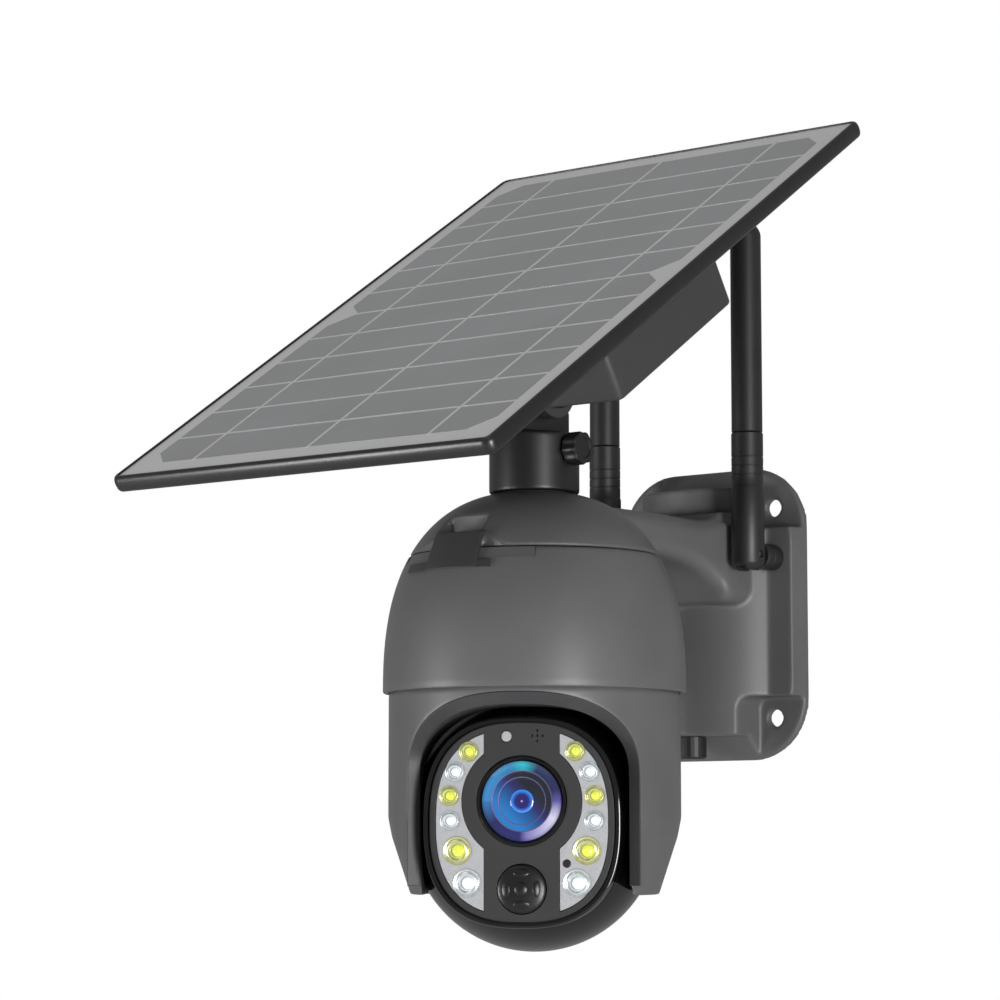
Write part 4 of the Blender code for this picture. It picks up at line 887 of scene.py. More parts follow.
class CAMERA_OT_yoke(bpy.types.Operator):
    """The grey turning head, with the chamfered arch that the ball looks out of"""

    bl_idname = "security_camera.yoke"
    bl_label = "Yoke"

    def execute(self, context):
        neck = context.scene.camera_housing.dome_radius - 3.3 * MM
        rings = []
        for z, half in ((8 * MM, neck), (-0.4 * MM, neck), (-0.8 * MM, YOKE_RADIUS),
                        (-52 * MM, YOKE_RADIUS), (-60 * MM, YOKE_RADIUS - 1.6 * MM),
                        (-84 * MM, 52 * MM)):
            share = half / YOKE_RADIUS
            rings.append([(x * share, y * share, z) for x, y in arc(YOKE_RADIUS, 0, 360, 160)[1:]])
        ball = moved(0, 0, TILT_Z)
        room = BALL_RADIUS + 1.5 * MM
        reach = 72 * MM
        lip = loft([[(x, z, math.sqrt(radius ** 2 - x ** 2)) for x, z in arch(grow)]
                    for radius, grow in ((YOKE_RADIUS - 5 * MM, 0.0),
                                         (YOKE_RADIUS + 0.2 * MM, 4.6 * MM),
                                         (YOKE_RADIUS + 9 * MM, 5.2 * MM))])
        cuts = [
            (lathe(arc(room, -90, 90, 60)), HEAD @ ball),
            (prism(arch(0), -reach, reach), HEAD @ FACING),
            (bore(59 * MM, 3 * MM, 18 * MM, 96), HEAD),
            (bore(8 * MM, -26.5 * MM, 18 * MM, 96), HEAD),
            (bore(AXLE_BORE, -58.5 * MM, 58.5 * MM, 48), HEAD @ ball @ ALONG_X),
            (lip, HEAD @ FACING),
        ]
        made = shaped("grey_yoke", (loft(rings), HEAD), finish(satin_grey_asa), (), cuts,
                      0.8 * MM, 4)
        place(made, "pan_head", "housing", "yoke_shell")
        # A thin liner over the arch's chamfer in the darker grey: painted shade on what is one
        # moulding with the yoke.
        sections = []
        for start, end in zip(self.rim(YOKE_RADIUS - 5 * MM, 0.0),
                              self.rim(YOKE_RADIUS + 0.1 * MM, 4.5 * MM)):
            middle, across = (start + end) / 2, (end - start).normalized()
            inward = Vector((-middle.x, -middle.y - 50 * MM, 0)).normalized()
            proud = (Vector((0, 0, 1)) + inward)
            proud = (proud - across * proud.dot(across)).normalized() * 0.35 * MM
            sections.append([start + proud, end + proud, end - proud, start - proud])
        liner = add_object("arch_liner_painted_shade", loft(sections), finish(lip_asa_painted_shade),
                           HEAD @ FACING)
        place(liner, "pan_head", "housing")
        dress(finish(satin_black_nylon), "pan_hub")
        dress(finish(white_acetal), "pan_gear", "tilt_gear")
        dress(finish(zinc_plate), "pan_retainer", "tilt_axle_right", "tilt_axle_left")
        return {"FINISHED"}

    def rim(self, radius, grow):
        """The arch's outline wrapped on the yoke's round front, down to the cheeks' ends."""
        lowest = -80 * MM
        return [Vector((x, max(z, lowest), math.sqrt(radius ** 2 - x ** 2)))
                for x, z in arch(grow)]


def face_rings(half_x, half_z, *distances):
    return [[(x, z, distance) for x, z in oval(half_x, half_z, centre_y=FACE_MIDDLE)]
            for distance in distances]


class CAMERA_OT_ball(bpy.types.Operator):
    """The polished black ball: a front shell drawn out into an oval snout, and a rear shell"""

    bl_idname = "security_camera.ball"
    bl_label = "Camera ball"

    def execute(self, context):
        outer, inner = BALL_RADIUS, BALL_RADIUS - BALL_WALL
        back = -9 * MM
        wall = 2.3 * MM
        tip = FACE_AT + 0.8 * MM
        split = math.degrees(math.asin(back / outer))
        front = [(0, back)] + arc(outer, split, 90, 60)
        inside_split = math.degrees(math.asin(back / inner))
        hollow = [(0, back - MM), (inner * math.cos(math.radians(inside_split)), back - MM)]
        hollow += arc(inner, inside_split, 90, 48)
        snout = loft(face_rings(FACE_HALF_X + wall, FACE_HALF_Z + wall, 8 * MM, tip - 0.9 * MM)
                     + face_rings(FACE_HALF_X + wall - 0.3 * MM, FACE_HALF_Z + wall - 0.3 * MM,
                                  tip - 0.25 * MM)
                     + face_rings(FACE_HALF_X + wall - MM, FACE_HALF_Z + wall - MM, tip))
        trim = prism([(-80 * MM, -80 * MM), (80 * MM, -80 * MM), (80 * MM, 80 * MM),
                      (-80 * MM, 80 * MM)], tip, 80 * MM)
        cuts = [
            (trim, FACE),
            (lathe(hollow, 128), FACE),
            (loft(face_rings(FACE_HALF_X - 2.5 * MM, FACE_HALF_Z - 2.5 * MM, 10 * MM, 50 * MM)),
             FACE),
            (loft(face_rings(FACE_HALF_X + CLEARANCE, FACE_HALF_Z + CLEARANCE, 42.3 * MM,
                             50 * MM)), FACE),
            (bore(AXLE_BORE, -60 * MM, 60 * MM, 48), BALL @ ALONG_X),
        ]
        shell = shaped("black_ball_front", (lathe(front, 160), FACE),
                       finish(polished_black_abs), [(snout, FACE)], cuts)
        place(shell, "camera_ball", "ball", "ball_front_shell")
        low = 9.3 * MM
        out_split = math.degrees(math.asin(low / outer))
        in_split = math.degrees(math.asin(low / inner))
        rear = arc(outer, -out_split, -90, 60) + arc(inner, -90, -in_split, 48)
        made = add_object("black_ball_rear", lathe(rear, 160), finish(polished_black_abs), FACE)
        place(made, "camera_ball", "ball", "ball_rear_shell")
        dress(finish(zinc_plate), "tilt_motor")
        dress(finish(turned_brass), "tilt_pinion", "pan_pinion")
        dress(finish(solder_mask), "sensor_board", "led_board")
        return {"FINISHED"}


LENS_Z = 9.5 * MM
LENS_RADIUS = 16.5 * MM
BEZEL_RADIUS = LENS_RADIUS + 1.8 * MM
PIR_Z = -26 * MM
PIR_RADIUS = 10 * MM
SENSOR_AT = (-6.3 * MM, 35.8 * MM)
MICROPHONE_AT = (6.4 * MM, 36 * MM)
STATUS_AT = (18.4 * MM, -15.7 * MM)


def window_outline(side, grow=0.0):
    """A crescent beside the lens: straight inner edges, a round bite and the face's curve."""
    inner, edge = 24.8 * MM - grow, 15.6 * MM - grow
    turn = math.degrees(math.acos(edge / inner))
    bite = arc(inner, turn, -turn, 32, (0, LENS_Z))
    half_x, half_z = FACE_HALF_X - 2.9 * MM + grow, FACE_HALF_Z - 2.9 * MM + grow
    rim = [point for point in oval(half_x, half_z, 360, centre_y=FACE_MIDDLE)
           if point[0] > edge]
    rim.sort(key=lambda point: point[1])
    height = (1 - (edge / half_x) ** OVAL_POWER) ** (1 / OVAL_POWER) * half_z
    rim = [(edge, FACE_MIDDLE - height)] + rim + [(edge, FACE_MIDDLE + height)]
    return [(side * x, z) for x, z in bite + rim][::side]


class CAMERA_OT_face(bpy.types.Operator):
    """The dark oval plate, its two pale windows, the microphone and the light sensor"""

    bl_idname = "security_camera.face"
    bl_label = "Face"

    def execute(self, context):
        back = FACE_AT - 2.4 * MM
        cuts = [
            (bore(BEZEL_RADIUS + CLEARANCE, 0, 60 * MM, 128), FACE @ moved(0, LENS_Z, 0)),
            (bore(PIR_RADIUS + CLEARANCE, 0, 60 * MM, 96), FACE @ moved(0, PIR_Z, 0)),
            (bore(2.5 * MM, 0, 60 * MM), FACE @ moved(*SENSOR_AT, 0)),
        ]
        for side in (-1, 1):
            cuts.append((prism(window_outline(side, CLEARANCE), back - MM, 50 * MM), FACE))
        spacing = 2.1 * MM
        for x, z in ((0, 0), (1, 0), (-1, 0), (0, 1), (0, -1)):
            hole = FACE @ moved(MICROPHONE_AT[0] + x * spacing, MICROPHONE_AT[1] + z * spacing, 0)
            cuts.append((bore(0.55 * MM, FACE_AT - 1.2 * MM, 50 * MM, 20), hole))
        rings = face_rings(FACE_HALF_X, FACE_HALF_Z, back, FACE_AT - 0.4 * MM)
        rings += face_rings(FACE_HALF_X - 0.4 * MM, FACE_HALF_Z - 0.4 * MM, FACE_AT)
        plate = shaped("dark_face_plate", (loft(rings), FACE), finish(fine_matt_face), (), cuts)
        place(plate, "camera_ball", "face", "face_plate")
        top = FACE_AT - 0.2 * MM
        for side, name in ((-1, "left"), (1, "right")):
            wells = [(bore(radius, top - 1.1 * MM, top + MM, 48), FACE @ moved(side * x, z, 0))
                     for x, z, radius, _ in lights(context)]
            if side > 0:
                wells.append((bore(1.75 * MM, top - 0.8 * MM, top + MM),
                              FACE @ moved(*STATUS_AT, 0)))
            window = shaped(f"pale_window_{name}",
                            (prism(window_outline(side), back + 0.6 * MM, top), FACE),
                            finish(prismatic_window), (), wells)
            place(window, "camera_ball", "window", f"led_window_{name}")
        dot = [(0, top - 0.8 * MM), (1.7 * MM, top - 0.8 * MM), (1.7 * MM, top - 0.2 * MM),
               (1.4 * MM, top), (0, top)]
        status = add_object("status_light", lathe(dot, 40), finish(satin_black_nylon),
                            FACE @ moved(*STATUS_AT, 0))
        place(status, "camera_ball", "black_plastic")
        cap = [(0, back + 0.4 * MM), (2.2 * MM, back + 0.4 * MM), (2.2 * MM, top - 0.3 * MM),
               (1.9 * MM, top), (0, top + 0.1 * MM)]
        sensor = add_object("pale_light_sensor", lathe(cap, 40), finish(prismatic_window),
                            FACE @ moved(*SENSOR_AT, 0))
        place(sensor, "camera_ball", "window", "light_sensor_window")
        return {"FINISHED"}


def lights(context):
    """The lights on one side as (x, z, radius, whether it is warm), from the top down."""
    sizes = context.scene.camera_face
    small, large = sizes.led_small, sizes.led_large
    return [(21.8 * MM, 29.7 * MM, small, True), (27.5 * MM, 21.4 * MM, small, False),
            (29.8 * MM, 11.7 * MM, small, True), (29.6 * MM, 1.6 * MM, small, False),
            (26.5 * MM, -10.5 * MM, large, True), (22.5 * MM, -23.6 * MM, large, False)]


def phosphor_painted_glow():
    """Yellow phosphor under clear silicone: saturated, with a painted glow that makes its heart
    brighter.
    """
    warm = bpy.context.scene.camera_face.warm
    # The emission is a painted glow; the light is not a lamp in the scene.
    made, tree, shader = new_material("yellow_phosphor_painted_glow", Roughness=0.3, IOR=1.41,
                                      Coat_Weight=0.6, Coat_Roughness=0.08,
                                      Emission_Strength=0.22)
    tone = ramp(tree, noise(tree, 0.6), (0.35, shaded(warm, 0.8)), (0.65, shaded(warm)))
    tree.links.new(tone, shader.inputs["Base Color"])
    shader.inputs["Emission Color"].default_value = shaded(warm)
    return made


def clear_silicone_painted_glow():
    """Clear silicone over a white chip: bright, watery white, with a painted glow."""
    cool = bpy.context.scene.camera_face.cool
    # The emission is a painted glow; the light is not a lamp in the scene.
    made, tree, shader = new_material("silicone_dome_painted_glow", Roughness=0.12, IOR=1.41,
                                      Coat_Weight=0.8, Coat_Roughness=0.05,
                                      Emission_Strength=0.16)
    tone = ramp(tree, noise(tree, 1.5), (0.3, shaded(cool, 0.86)), (0.7, shaded(cool)))
    tree.links.new(tone, shader.inputs["Base Color"])
    shader.inputs["Emission Color"].default_value = shaded(cool)
    return made


def vacuum_metallised(name, tint):
    """Plastic cup, vacuum metallised: a bright mirror-like ring, tinted by its light."""
    made, tree, shader = new_material(name, Metallic=0.75, Roughness=0.22)
    tone = ramp(tree, noise(tree, 2), (0.35, shaded(linear(tint), 0.9)), (0.65, linear(tint)))
    tree.links.new(tone, shader.inputs["Base Color"])
    return made


def warm_cup():
    """The reflector round a warm light."""
    return vacuum_metallised("warm_metallised_cup", "#e6e8b4")


def cool_cup():
    """The reflector round a clear light."""
    return vacuum_metallised("cool_metallised_cup", "#e9eef0")


class CAMERA_OT_lights(bpy.types.Operator):
    """Twelve lights: each a ringed reflector cup with a domed emitter in it"""

    bl_idname = "security_camera.lights"
    bl_label = "Lights"

    def execute(self, context):
        top = FACE_AT - 0.2 * MM
        floor = top - 1.0 * MM
        for side, side_name in ((-1, "left"), (1, "right")):
            for index, (x, z, radius, warm) in enumerate(lights(context), 1):
                rim, lip = radius - 0.08 * MM, 0.32 * MM
                cup = [(0, floor), (rim, floor), (rim, top + 0.1 * MM),
                       (rim - lip / 2, top + 0.35 * MM), (rim - lip, top + 0.1 * MM),
                       (radius * 0.78, top - 0.25 * MM), (radius * 0.76, top + 0.25 * MM),
                       (radius * 0.68, top + 0.5 * MM), (radius * 0.6, top + 0.25 * MM),
                       (radius * 0.47, top - 0.4 * MM), (0, top - 0.5 * MM)]
                at = FACE @ moved(side * x, z, 0)
                made = add_object(f"light_cup_{side_name}_{index}", lathe(cup, 64),
                                  finish(warm_cup if warm else cool_cup), at)
                place(made, "camera_ball", "window")
                core = radius * 0.42
                bead = [(0, top - 0.48 * MM), (core, top - 0.48 * MM)]
                bead += crown(core, core * 0.55, top - 0.4 * MM, 9)
                made = add_object(f"light_bead_{side_name}_{index}", lathe(bead, 48),
                                  finish(phosphor_painted_glow if warm else clear_silicone_painted_glow),
                                  FACE @ moved(side * x + radius * 0.07, z, 0))
                place(made, "camera_ball", "window")
        return {"FINISHED"}


def lens_with_painted_light(name, roughness, glow, colour):
    """Coated optical glass with painted reflections and a painted glow. colour gives a tone from
    the place on the lens, in radii, used as both base and emission colour.
    """
    made, tree, shader = new_material(name, Roughness=roughness, IOR=1.6, Coat_Weight=1.0,
                                      Coat_Roughness=0.02, Emission_Strength=glow)
    tone = colour(tree, add(tree, "ShaderNodeUVMap", uv_map="lens").outputs["UV"])
    tree.links.new(tone, shader.inputs["Base Color"])
    # The emission takes the same tone: a painted glow.
    tree.links.new(tone, shader.inputs["Emission Color"])
    return made


def front_glass_painted_reflections():
    """Optical glass, polished and coated: blues and violets that change across the face, painted
    in as reflections.

    Its coating sends back different colours at different angles; here those reflections and a
    glow are painted by place on the lens. The stops go round the lens from the left,
    anticlockwise: deep blue, navy, violet white, navy, cyan, sky blue.
    """
    def colour(tree, at):
        centred = add(tree, "ShaderNodeSeparateXYZ", {"Vector": at})
        angle = add(tree, "ShaderNodeMath", {0: centred.outputs["Y"], 1: centred.outputs["X"]},
                    operation="ARCTAN2")
        share = add(tree, "ShaderNodeMapRange", {"Value": angle.outputs[0],
                                                 "From Min": -math.pi, "From Max": math.pi})
        around = ramp(tree, share.outputs["Result"], (0.0, linear("#2a68a4")),
                      (0.10, linear("#141c54")), (0.24, linear("#1f1d62")),
                      (0.27, linear("#6f6aa8")), (0.42, linear("#c4c1da")),
                      (0.50, linear("#4a4a8f")), (0.55, linear("#181b4a")),
                      (0.68, linear("#10284e")), (0.745, linear("#08a0b0")),
                      (0.80, linear("#1d6f9c")), (0.92, linear("#2f78b0")))
        far = add(tree, "ShaderNodeVectorMath", {0: at}, operation="LENGTH")
        # Painted shade: darker at the centre and at the very edge.
        inward = ramp(tree, far.outputs["Value"], (0.0, grey_level(0.35)),
                      (0.62, grey_level(0.8)), (0.9, grey_level(1.0)), (1.0, grey_level(0.5)))
        return add(tree, "ShaderNodeMix", {"Factor": 1.0, 6: around, 7: inward},
                   data_type="RGBA", blend_type="MULTIPLY").outputs[2]
    return lens_with_painted_light("optical_glass_painted_reflections", 0.06, 0.25, colour)


def inner_glass_painted_reflections():
    """The inner elements' coating, as painted reflections with a painted glow: bright blue low and
    left, near black high and right.
    """
    def colour(tree, at):
        centred = add(tree, "ShaderNodeSeparateXYZ", {"Vector": at})
        slant = add(tree, "ShaderNodeMath", {0: centred.outputs["X"], 1: centred.outputs["Y"]},
                    operation="ADD")
        share = add(tree, "ShaderNodeMapRange", {"Value": slant.outputs[0], "From Min": -0.7,
                                                 "From Max": 0.7})
        return ramp(tree, share.outputs["Result"], (0.0, linear("#1468ac")),
                    (0.35, linear("#0b4682")), (0.6, linear("#1d1c56")),
                    (0.85, linear("#0b1020")))
    return lens_with_painted_light("coated_inner_glass_painted_reflections", 0.08, 0.3, colour)


def lens_core_painted_reflection():
    """The stop behind the last element: painted reflections in deep violet blue, with a painted
    highlight, a pin of light, at the centre, and a painted glow.
    """
    def colour(tree, at):
        far = add(tree, "ShaderNodeVectorMath", {0: at}, operation="LENGTH")
        # A white painted highlight at the centre, then painted reflections in violets and blues.
        return ramp(tree, far.outputs["Value"], (0.0, linear("#ffffff")),
                    (0.012, linear("#7a6bd8")), (0.04, linear("#140a4a")),
                    (0.17, linear("#15145f")), (0.22, linear("#1c4fa8")),
                    (0.27, linear("#2a80cc")), (0.3, linear("#12307a")))
    return lens_with_painted_light("lens_stop_painted_reflection", 0.08, 0.4, colour)


def bright_lens_rim():
    """Blackened brass retaining ring, its edge polished: a fine lilac line of light."""
    return zinc_plate("polished_retaining_ring", "#a9a6da", 0.25)


def unit_uv(obj, centre, radius):
    """Writes each point's place on the lens, in radii from its centre, as a UV map."""
    flat = FACE.inverted()
    layer = obj.data.uv_layers.new(name="lens")
    for loop in obj.data.loops:
        point = flat @ obj.data.vertices[loop.vertex_index].co
        layer.data[loop.index].uv = ((point.x - centre[0]) / radius, (point.y - centre[1]) / radius)
    return obj


def dished_ring(outer, inner, high, low, back):
    """Profile of a ring whose front slopes or curves from its outer to its inner edge."""
    front = []
    steps = 10
    for i in range(steps + 1):
        t = i / steps
        front.append((outer + (inner - outer) * t, high + (low - high) * math.sin(t * math.pi / 2)))
    return [(inner, back), (outer, back)] + front


class CAMERA_OT_lens(bpy.types.Operator):
    """The lens: black bezel, a coated front element, two retaining rings and inner elements"""

    bl_idname = "security_camera.lens"
    bl_label = "Lens"

    def execute(self, context):
        at = FACE @ moved(0, LENS_Z, 0)
        back = FACE_AT - 2.4 * MM
        bezel = [(LENS_RADIUS, back), (BEZEL_RADIUS, back), (BEZEL_RADIUS, FACE_AT + 0.3 * MM),
                 (BEZEL_RADIUS - 0.4 * MM, FACE_AT + 0.6 * MM),
                 (LENS_RADIUS + 0.7 * MM, FACE_AT + 0.5 * MM),
                 (LENS_RADIUS, FACE_AT - 0.3 * MM)]
        ring = add_object("black_lens_bezel", lathe(bezel, 128), finish(polished_black_abs), at)
        place(ring, "camera_ball", "black_plastic", "lens_ring")
        glass_back = FACE_AT - 1.6 * MM
        front = FACE_AT - 0.1 * MM
        parts = (
            ("lens_front_element", dished_ring(LENS_RADIUS - CLEARANCE, 12.5 * MM, front,
                                               front - 0.7 * MM, glass_back),
             front_glass_painted_reflections, "lens", ("lens_glass",)),
            ("lens_outer_retainer", dished_ring(12.5 * MM, 12.1 * MM, front - 0.55 * MM,
                                                front - 0.6 * MM, glass_back),
             bright_lens_rim, "lens", ()),
            ("lens_middle_element", dished_ring(12.1 * MM, 9.9 * MM, front - 0.75 * MM,
                                                front - 1.0 * MM, glass_back),
             inner_glass_painted_reflections, "lens", ()),
            ("lens_inner_retainer", dished_ring(9.9 * MM, 9.5 * MM, front - 0.7 * MM,
                                                front - 0.75 * MM, glass_back),
             bright_lens_rim, "lens", ()),
            ("lens_inner_element", dished_ring(9.5 * MM, 4.95 * MM, front - 0.9 * MM,
                                               front - 1.3 * MM, glass_back),
             inner_glass_painted_reflections, "lens", ()),
        )
        for name, profile, look, slot, nodes in parts:
            piece = add_object(name, lathe(profile, 128), finish(look), at)
            unit_uv(piece, (0, LENS_Z), LENS_RADIUS)
            place(piece, "camera_ball", slot, *nodes)
        heart = 4.9 * MM
        bead = [(0, glass_back), (heart, glass_back)] + crown(heart, 0.8 * MM,
                                                              front - 1.25 * MM, 9)
        core = unit_uv(add_object("lens_core_painted_reflection", lathe(bead, 96), finish(lens_core_painted_reflection), at),
                       (0, LENS_Z), LENS_RADIUS)
        place(core, "camera_ball", "lens")
        dress(finish(satin_black_nylon), "lens_barrel")
        return {"FINISHED"}


class CAMERA_OT_motion_sensor(bpy.types.Operator):
    """The black motion sensor: a shallow dome with a raised centre and facets round it"""

    bl_idname = "security_camera.motion_sensor"
    bl_label = "Motion sensor"

    def execute(self, context):
        at = FACE @ moved(0, PIR_Z, 0)
        base = FACE_AT - 8.4 * MM
        profile = [(0, base), (PIR_RADIUS - MM, base), (PIR_RADIUS - MM, FACE_AT - 3.4 * MM),
                   (PIR_RADIUS, FACE_AT - 3.4 * MM), (PIR_RADIUS, FACE_AT - 0.2 * MM)]
        profile += crown(PIR_RADIUS, 2 * MM, FACE_AT, 10, 1)
        dome = (lathe(profile, 128), at)
        facets = []
        size = 3.6 * MM
        for angle, out in ((0, 6.6), (90, 6.9), (180, 6.6), (270, 6.6)):
            turn = math.radians(angle)
            facet = at @ moved(out * MM * math.cos(turn), out * MM * math.sin(turn),
                               FACE_AT + 0.9 * MM)
            facet = facet @ Matrix.Rotation(turn, 4, "Z") @ Matrix.Rotation(
                math.radians(24), 4, "Y")
            oval_facet = facet @ Matrix.Diagonal((0.62, 1.0, 0.26, 1.0))
            facets.append((lathe(arc(size, -90, 90, 24), 48), oval_facet))
        centre = at @ moved(0, 0, FACE_AT + 1.45 * MM) @ Matrix.Diagonal((1.0, 1.0, 0.45, 1.0))
        facets.append((lathe(arc(3.1 * MM, -90, 90, 24), 48), centre))
        made = shaped("black_motion_sensor", dome, finish(moulded_fresnel), facets)
        place(made, "camera_ball", "pir", "pir_lens")
        return {"FINISHED"}


# ---------------------------------------------------------------- bracket and panel

COLLAR_RADIUS = 19.2 * MM
THUMB_Z = 102.5 * MM
HINGE_Z = 129.5 * MM
HINGE_BORE, THUMB_BORE = 3.3 * MM, 2.3 * MM


class CAMERA_OT_bracket(bpy.types.Operator):
    """The black collar with its hinge tongue, the ribbed clamp knob and the hinge bolt"""

    bl_idname = "security_camera.bracket"
    bl_label = "Panel bracket"

    def execute(self, context):
        bottom, top, roof = 84.7 * MM, 110 * MM, 106.3 * MM
        inside, corner = SPIGOT_RADIUS + CLEARANCE, 1.4 * MM
        collar = [(inside, bottom), (COLLAR_RADIUS - 0.5 * MM, bottom),
                  (COLLAR_RADIUS, bottom + 0.5 * MM)]
        collar += arc(corner, 0, 90, 6, (COLLAR_RADIUS - corner, top - corner))
        collar += [(0, top), (0, roof), (inside, roof)]
        shoulder = HINGE_Z - 9.5 * MM
        side = [(-16 * MM, top - MM), (16 * MM, top - MM), (16 * MM, shoulder)]
        side += arc(9.2 * MM, 10, 170, 40, (0, HINGE_Z)) + [(-16 * MM, shoulder)]
        tongue = loft([[(x, y, z) for y, z in side] for x in (-6.6 * MM, 6.6 * MM)])
        cuts = [(bore(HINGE_BORE, -20 * MM, 20 * MM, 48), DOME @ moved(0, 0, HINGE_Z) @ ALONG_X),
                (bore(THUMB_BORE, 10 * MM, 30 * MM), DOME @ moved(0, 0, THUMB_Z) @ ALONG_X)]
        post = shaped("black_collar", (lathe(collar, 128), DOME), finish(satin_black_nylon),
                      [(tongue, DOME)], cuts, 0.6 * MM, 4)
        place(post, "panel_post", "black_plastic", "panel_post")
        self.knob()
        self.bolt()
        return {"FINISHED"}

    def knob(self):
        """A knob with round ribs and a dished end."""
        at = DOME @ moved(0, 0, THUMB_Z) @ ALONG_X
        start, length, radius, ribs = 19.8 * MM, 7 * MM, 7.15 * MM, 9
        outline = []
        for i in range(ribs * 12):
            a = 2 * math.pi * i / (ribs * 12)
            outline.append((a, radius - 0.3 * MM * (1 - math.cos(ribs * a))))
        rings = []
        for z, inset in ((0, 0.8), (0.25, 0.25), (0.8, 0), (6.2, 0), (6.75, 0.25), (7.0, 0.8)):
            rings.append([((r - inset * MM) * math.cos(a), (r - inset * MM) * math.sin(a),
                           start + z * MM) for a, r in outline])
        dish = [(0, start + length - 0.5 * MM), (4.2 * MM, start + length - 0.5 * MM),
                (5.0 * MM, start + length + MM), (0, start + length + MM)]
        stud_hole = bore(THUMB_BORE, 0, start + length / 2 + CLEARANCE)
        made = shaped("black_clamp_knob", (loft(rings), at), finish(satin_black_nylon), (),
                      [(lathe(dish, 64), at), (stud_hole, at)])
        place(made, "thumb_knob", "black_plastic", "thumb_knob")
        dress(finish(zinc_plate), "thumb_stud")

    def bolt(self):
        """A button headed bolt with a hexagon socket, and a plain nut."""
        start, end, shank, radius, edge = 12.2 * MM, -16.4 * MM, 3 * MM, 9 * MM, 1.6 * MM
        head = [(0, end), (shank, end), (shank, start), (radius, start), (radius, start + edge)]
        head += crown(radius, 3.4 * MM, start + edge, 12, 1)
        socket = prism(arc(2.9 * MM, 0, 360, 6)[1:], start + 2.4 * MM, start + 8 * MM)
        made = shaped("black_hinge_bolt", (lathe(head, 96), PANEL @ ALONG_X),
                      finish(satin_black_nylon), (), [(socket, PANEL @ ALONG_X)])
        place(made, "solar_panel", "black_plastic", "hinge_bolt")
        dress(finish(zinc_plate), "hinge_nut")


PANEL_HALF_X = 100 * MM
PANEL_HALF_Y = 153 * MM
PANEL_TOP = 46 * MM
PANEL_BOTTOM = 39 * MM


def panel_rings(*steps):
    """The panel's outline at some heights, each step a (height, inset)."""
    rings = []
    for z, inset in steps:
        ring = rounded_rectangle(PANEL_HALF_X - inset, PANEL_HALF_Y - inset, 4.5 * MM - inset, 8)
        rings.append([(x, y, z) for x, y in ring])
    return rings


def slab(half_x, half_y, corner, low, high, rounding=0.0):
    """A flat plate in the panel's frame, with its top edge rounded."""
    def ring(inset, z):
        return [(x, y, z) for x, y in rounded_rectangle(half_x - inset, half_y - inset,
                                                        corner - inset, 6)]
    rings = [ring(0, low), ring(0, high - rounding)]
    if rounding:
        rings.append(ring(rounding * 0.3, high - rounding * 0.3))
        rings.append(ring(rounding, high))
    return loft(rings)


class CAMERA_OT_solar_panel(bpy.types.Operator):
    """Frame, pale backsheet, cut cells with their corners off, and three silver busbars"""

    bl_idname = "security_camera.solar_panel"
    bl_label = "Solar panel"

    def execute(self, context):
        bulge = [(PANEL_BOTTOM + 3.5 * MM * (1 - math.cos(a)),
                  1.8 * MM * (1 - math.sin(a)) ** 1.2)
                 for a in (math.radians(15 * i) for i in range(0, 12))]
        rings = panel_rings(*bulge, (PANEL_TOP - 0.15 * MM, 1.35 * MM), (PANEL_TOP, 1.6 * MM))
        tray = slab(97.6 * MM, 150.6 * MM, 2 * MM, PANEL_BOTTOM + 2 * MM, 55 * MM)
        made = shaped("black_panel_frame", (loft(rings), PANEL), finish(pressed_black_frame), (),
                      [(tray, PANEL)])
        place(made, "solar_panel", "panel_frame", "panel_frame")
        self.face(context)
        return {"FINISHED"}

    def face(self, context):
        sizes = context.scene.camera_panel
        top = PANEL_TOP - 0.5 * MM
        sheet_top = top - 0.12 * MM
        sheet = add_object("pale_backsheet", slab(97.3 * MM, 150.3 * MM, 1.7 * MM, 42 * MM,
                                                  sheet_top), finish(laminated_backsheet), PANEL)
        place(sheet, "solar_panel", "solar_cells", "panel_laminate")
        half_x, half_y = sizes.half_width, sizes.half_length
        group_gap = sizes.row_gap
        pitch = (half_y - group_gap / 2 + sizes.row_gap) / sizes.rows
        cells = []
        for group in (-1, 1):
            start = group_gap / 2 if group > 0 else -half_y
            for row in range(sizes.rows):
                low = start + row * pitch
                high = low + pitch - sizes.row_gap
                cut_low = sizes.chamfer if row == 0 else 0.0
                cut_high = sizes.chamfer if row == sizes.rows - 1 else 0.0
                outline = [(-half_x + cut_low, low), (half_x - cut_low, low),
                           (half_x, low + cut_low), (half_x, high - cut_high),
                           (half_x - cut_high, high), (-half_x + cut_high, high),
                           (-half_x, high - cut_high), (-half_x, low + cut_low)]
                points = [p for i, p in enumerate(outline) if p != outline[i - 1]]
                cells.append(prism(points, sheet_top - 0.1 * MM, sheet_top + 0.05 * MM))
        strips = add_object("silicon_cells", joined(cells), finish(printed_silicon), PANEL)
        place(strips, "solar_panel", "solar_cells", "panel_glass")
        half_bar, reach = 0.8 * MM, half_y + 0.5 * MM
        bars = [prism([(x - half_bar, -reach), (x + half_bar, -reach), (x + half_bar, reach),
                       (x - half_bar, reach)], sheet_top - 0.05 * MM, sheet_top + 0.09 * MM)
                for x in (-sizes.busbar_pitch, 0.0, sizes.busbar_pitch)]
        ribbons = add_object("silver_busbars", joined(bars), finish(tinned_ribbon), PANEL)
        place(ribbons, "solar_panel", "solar_cells")


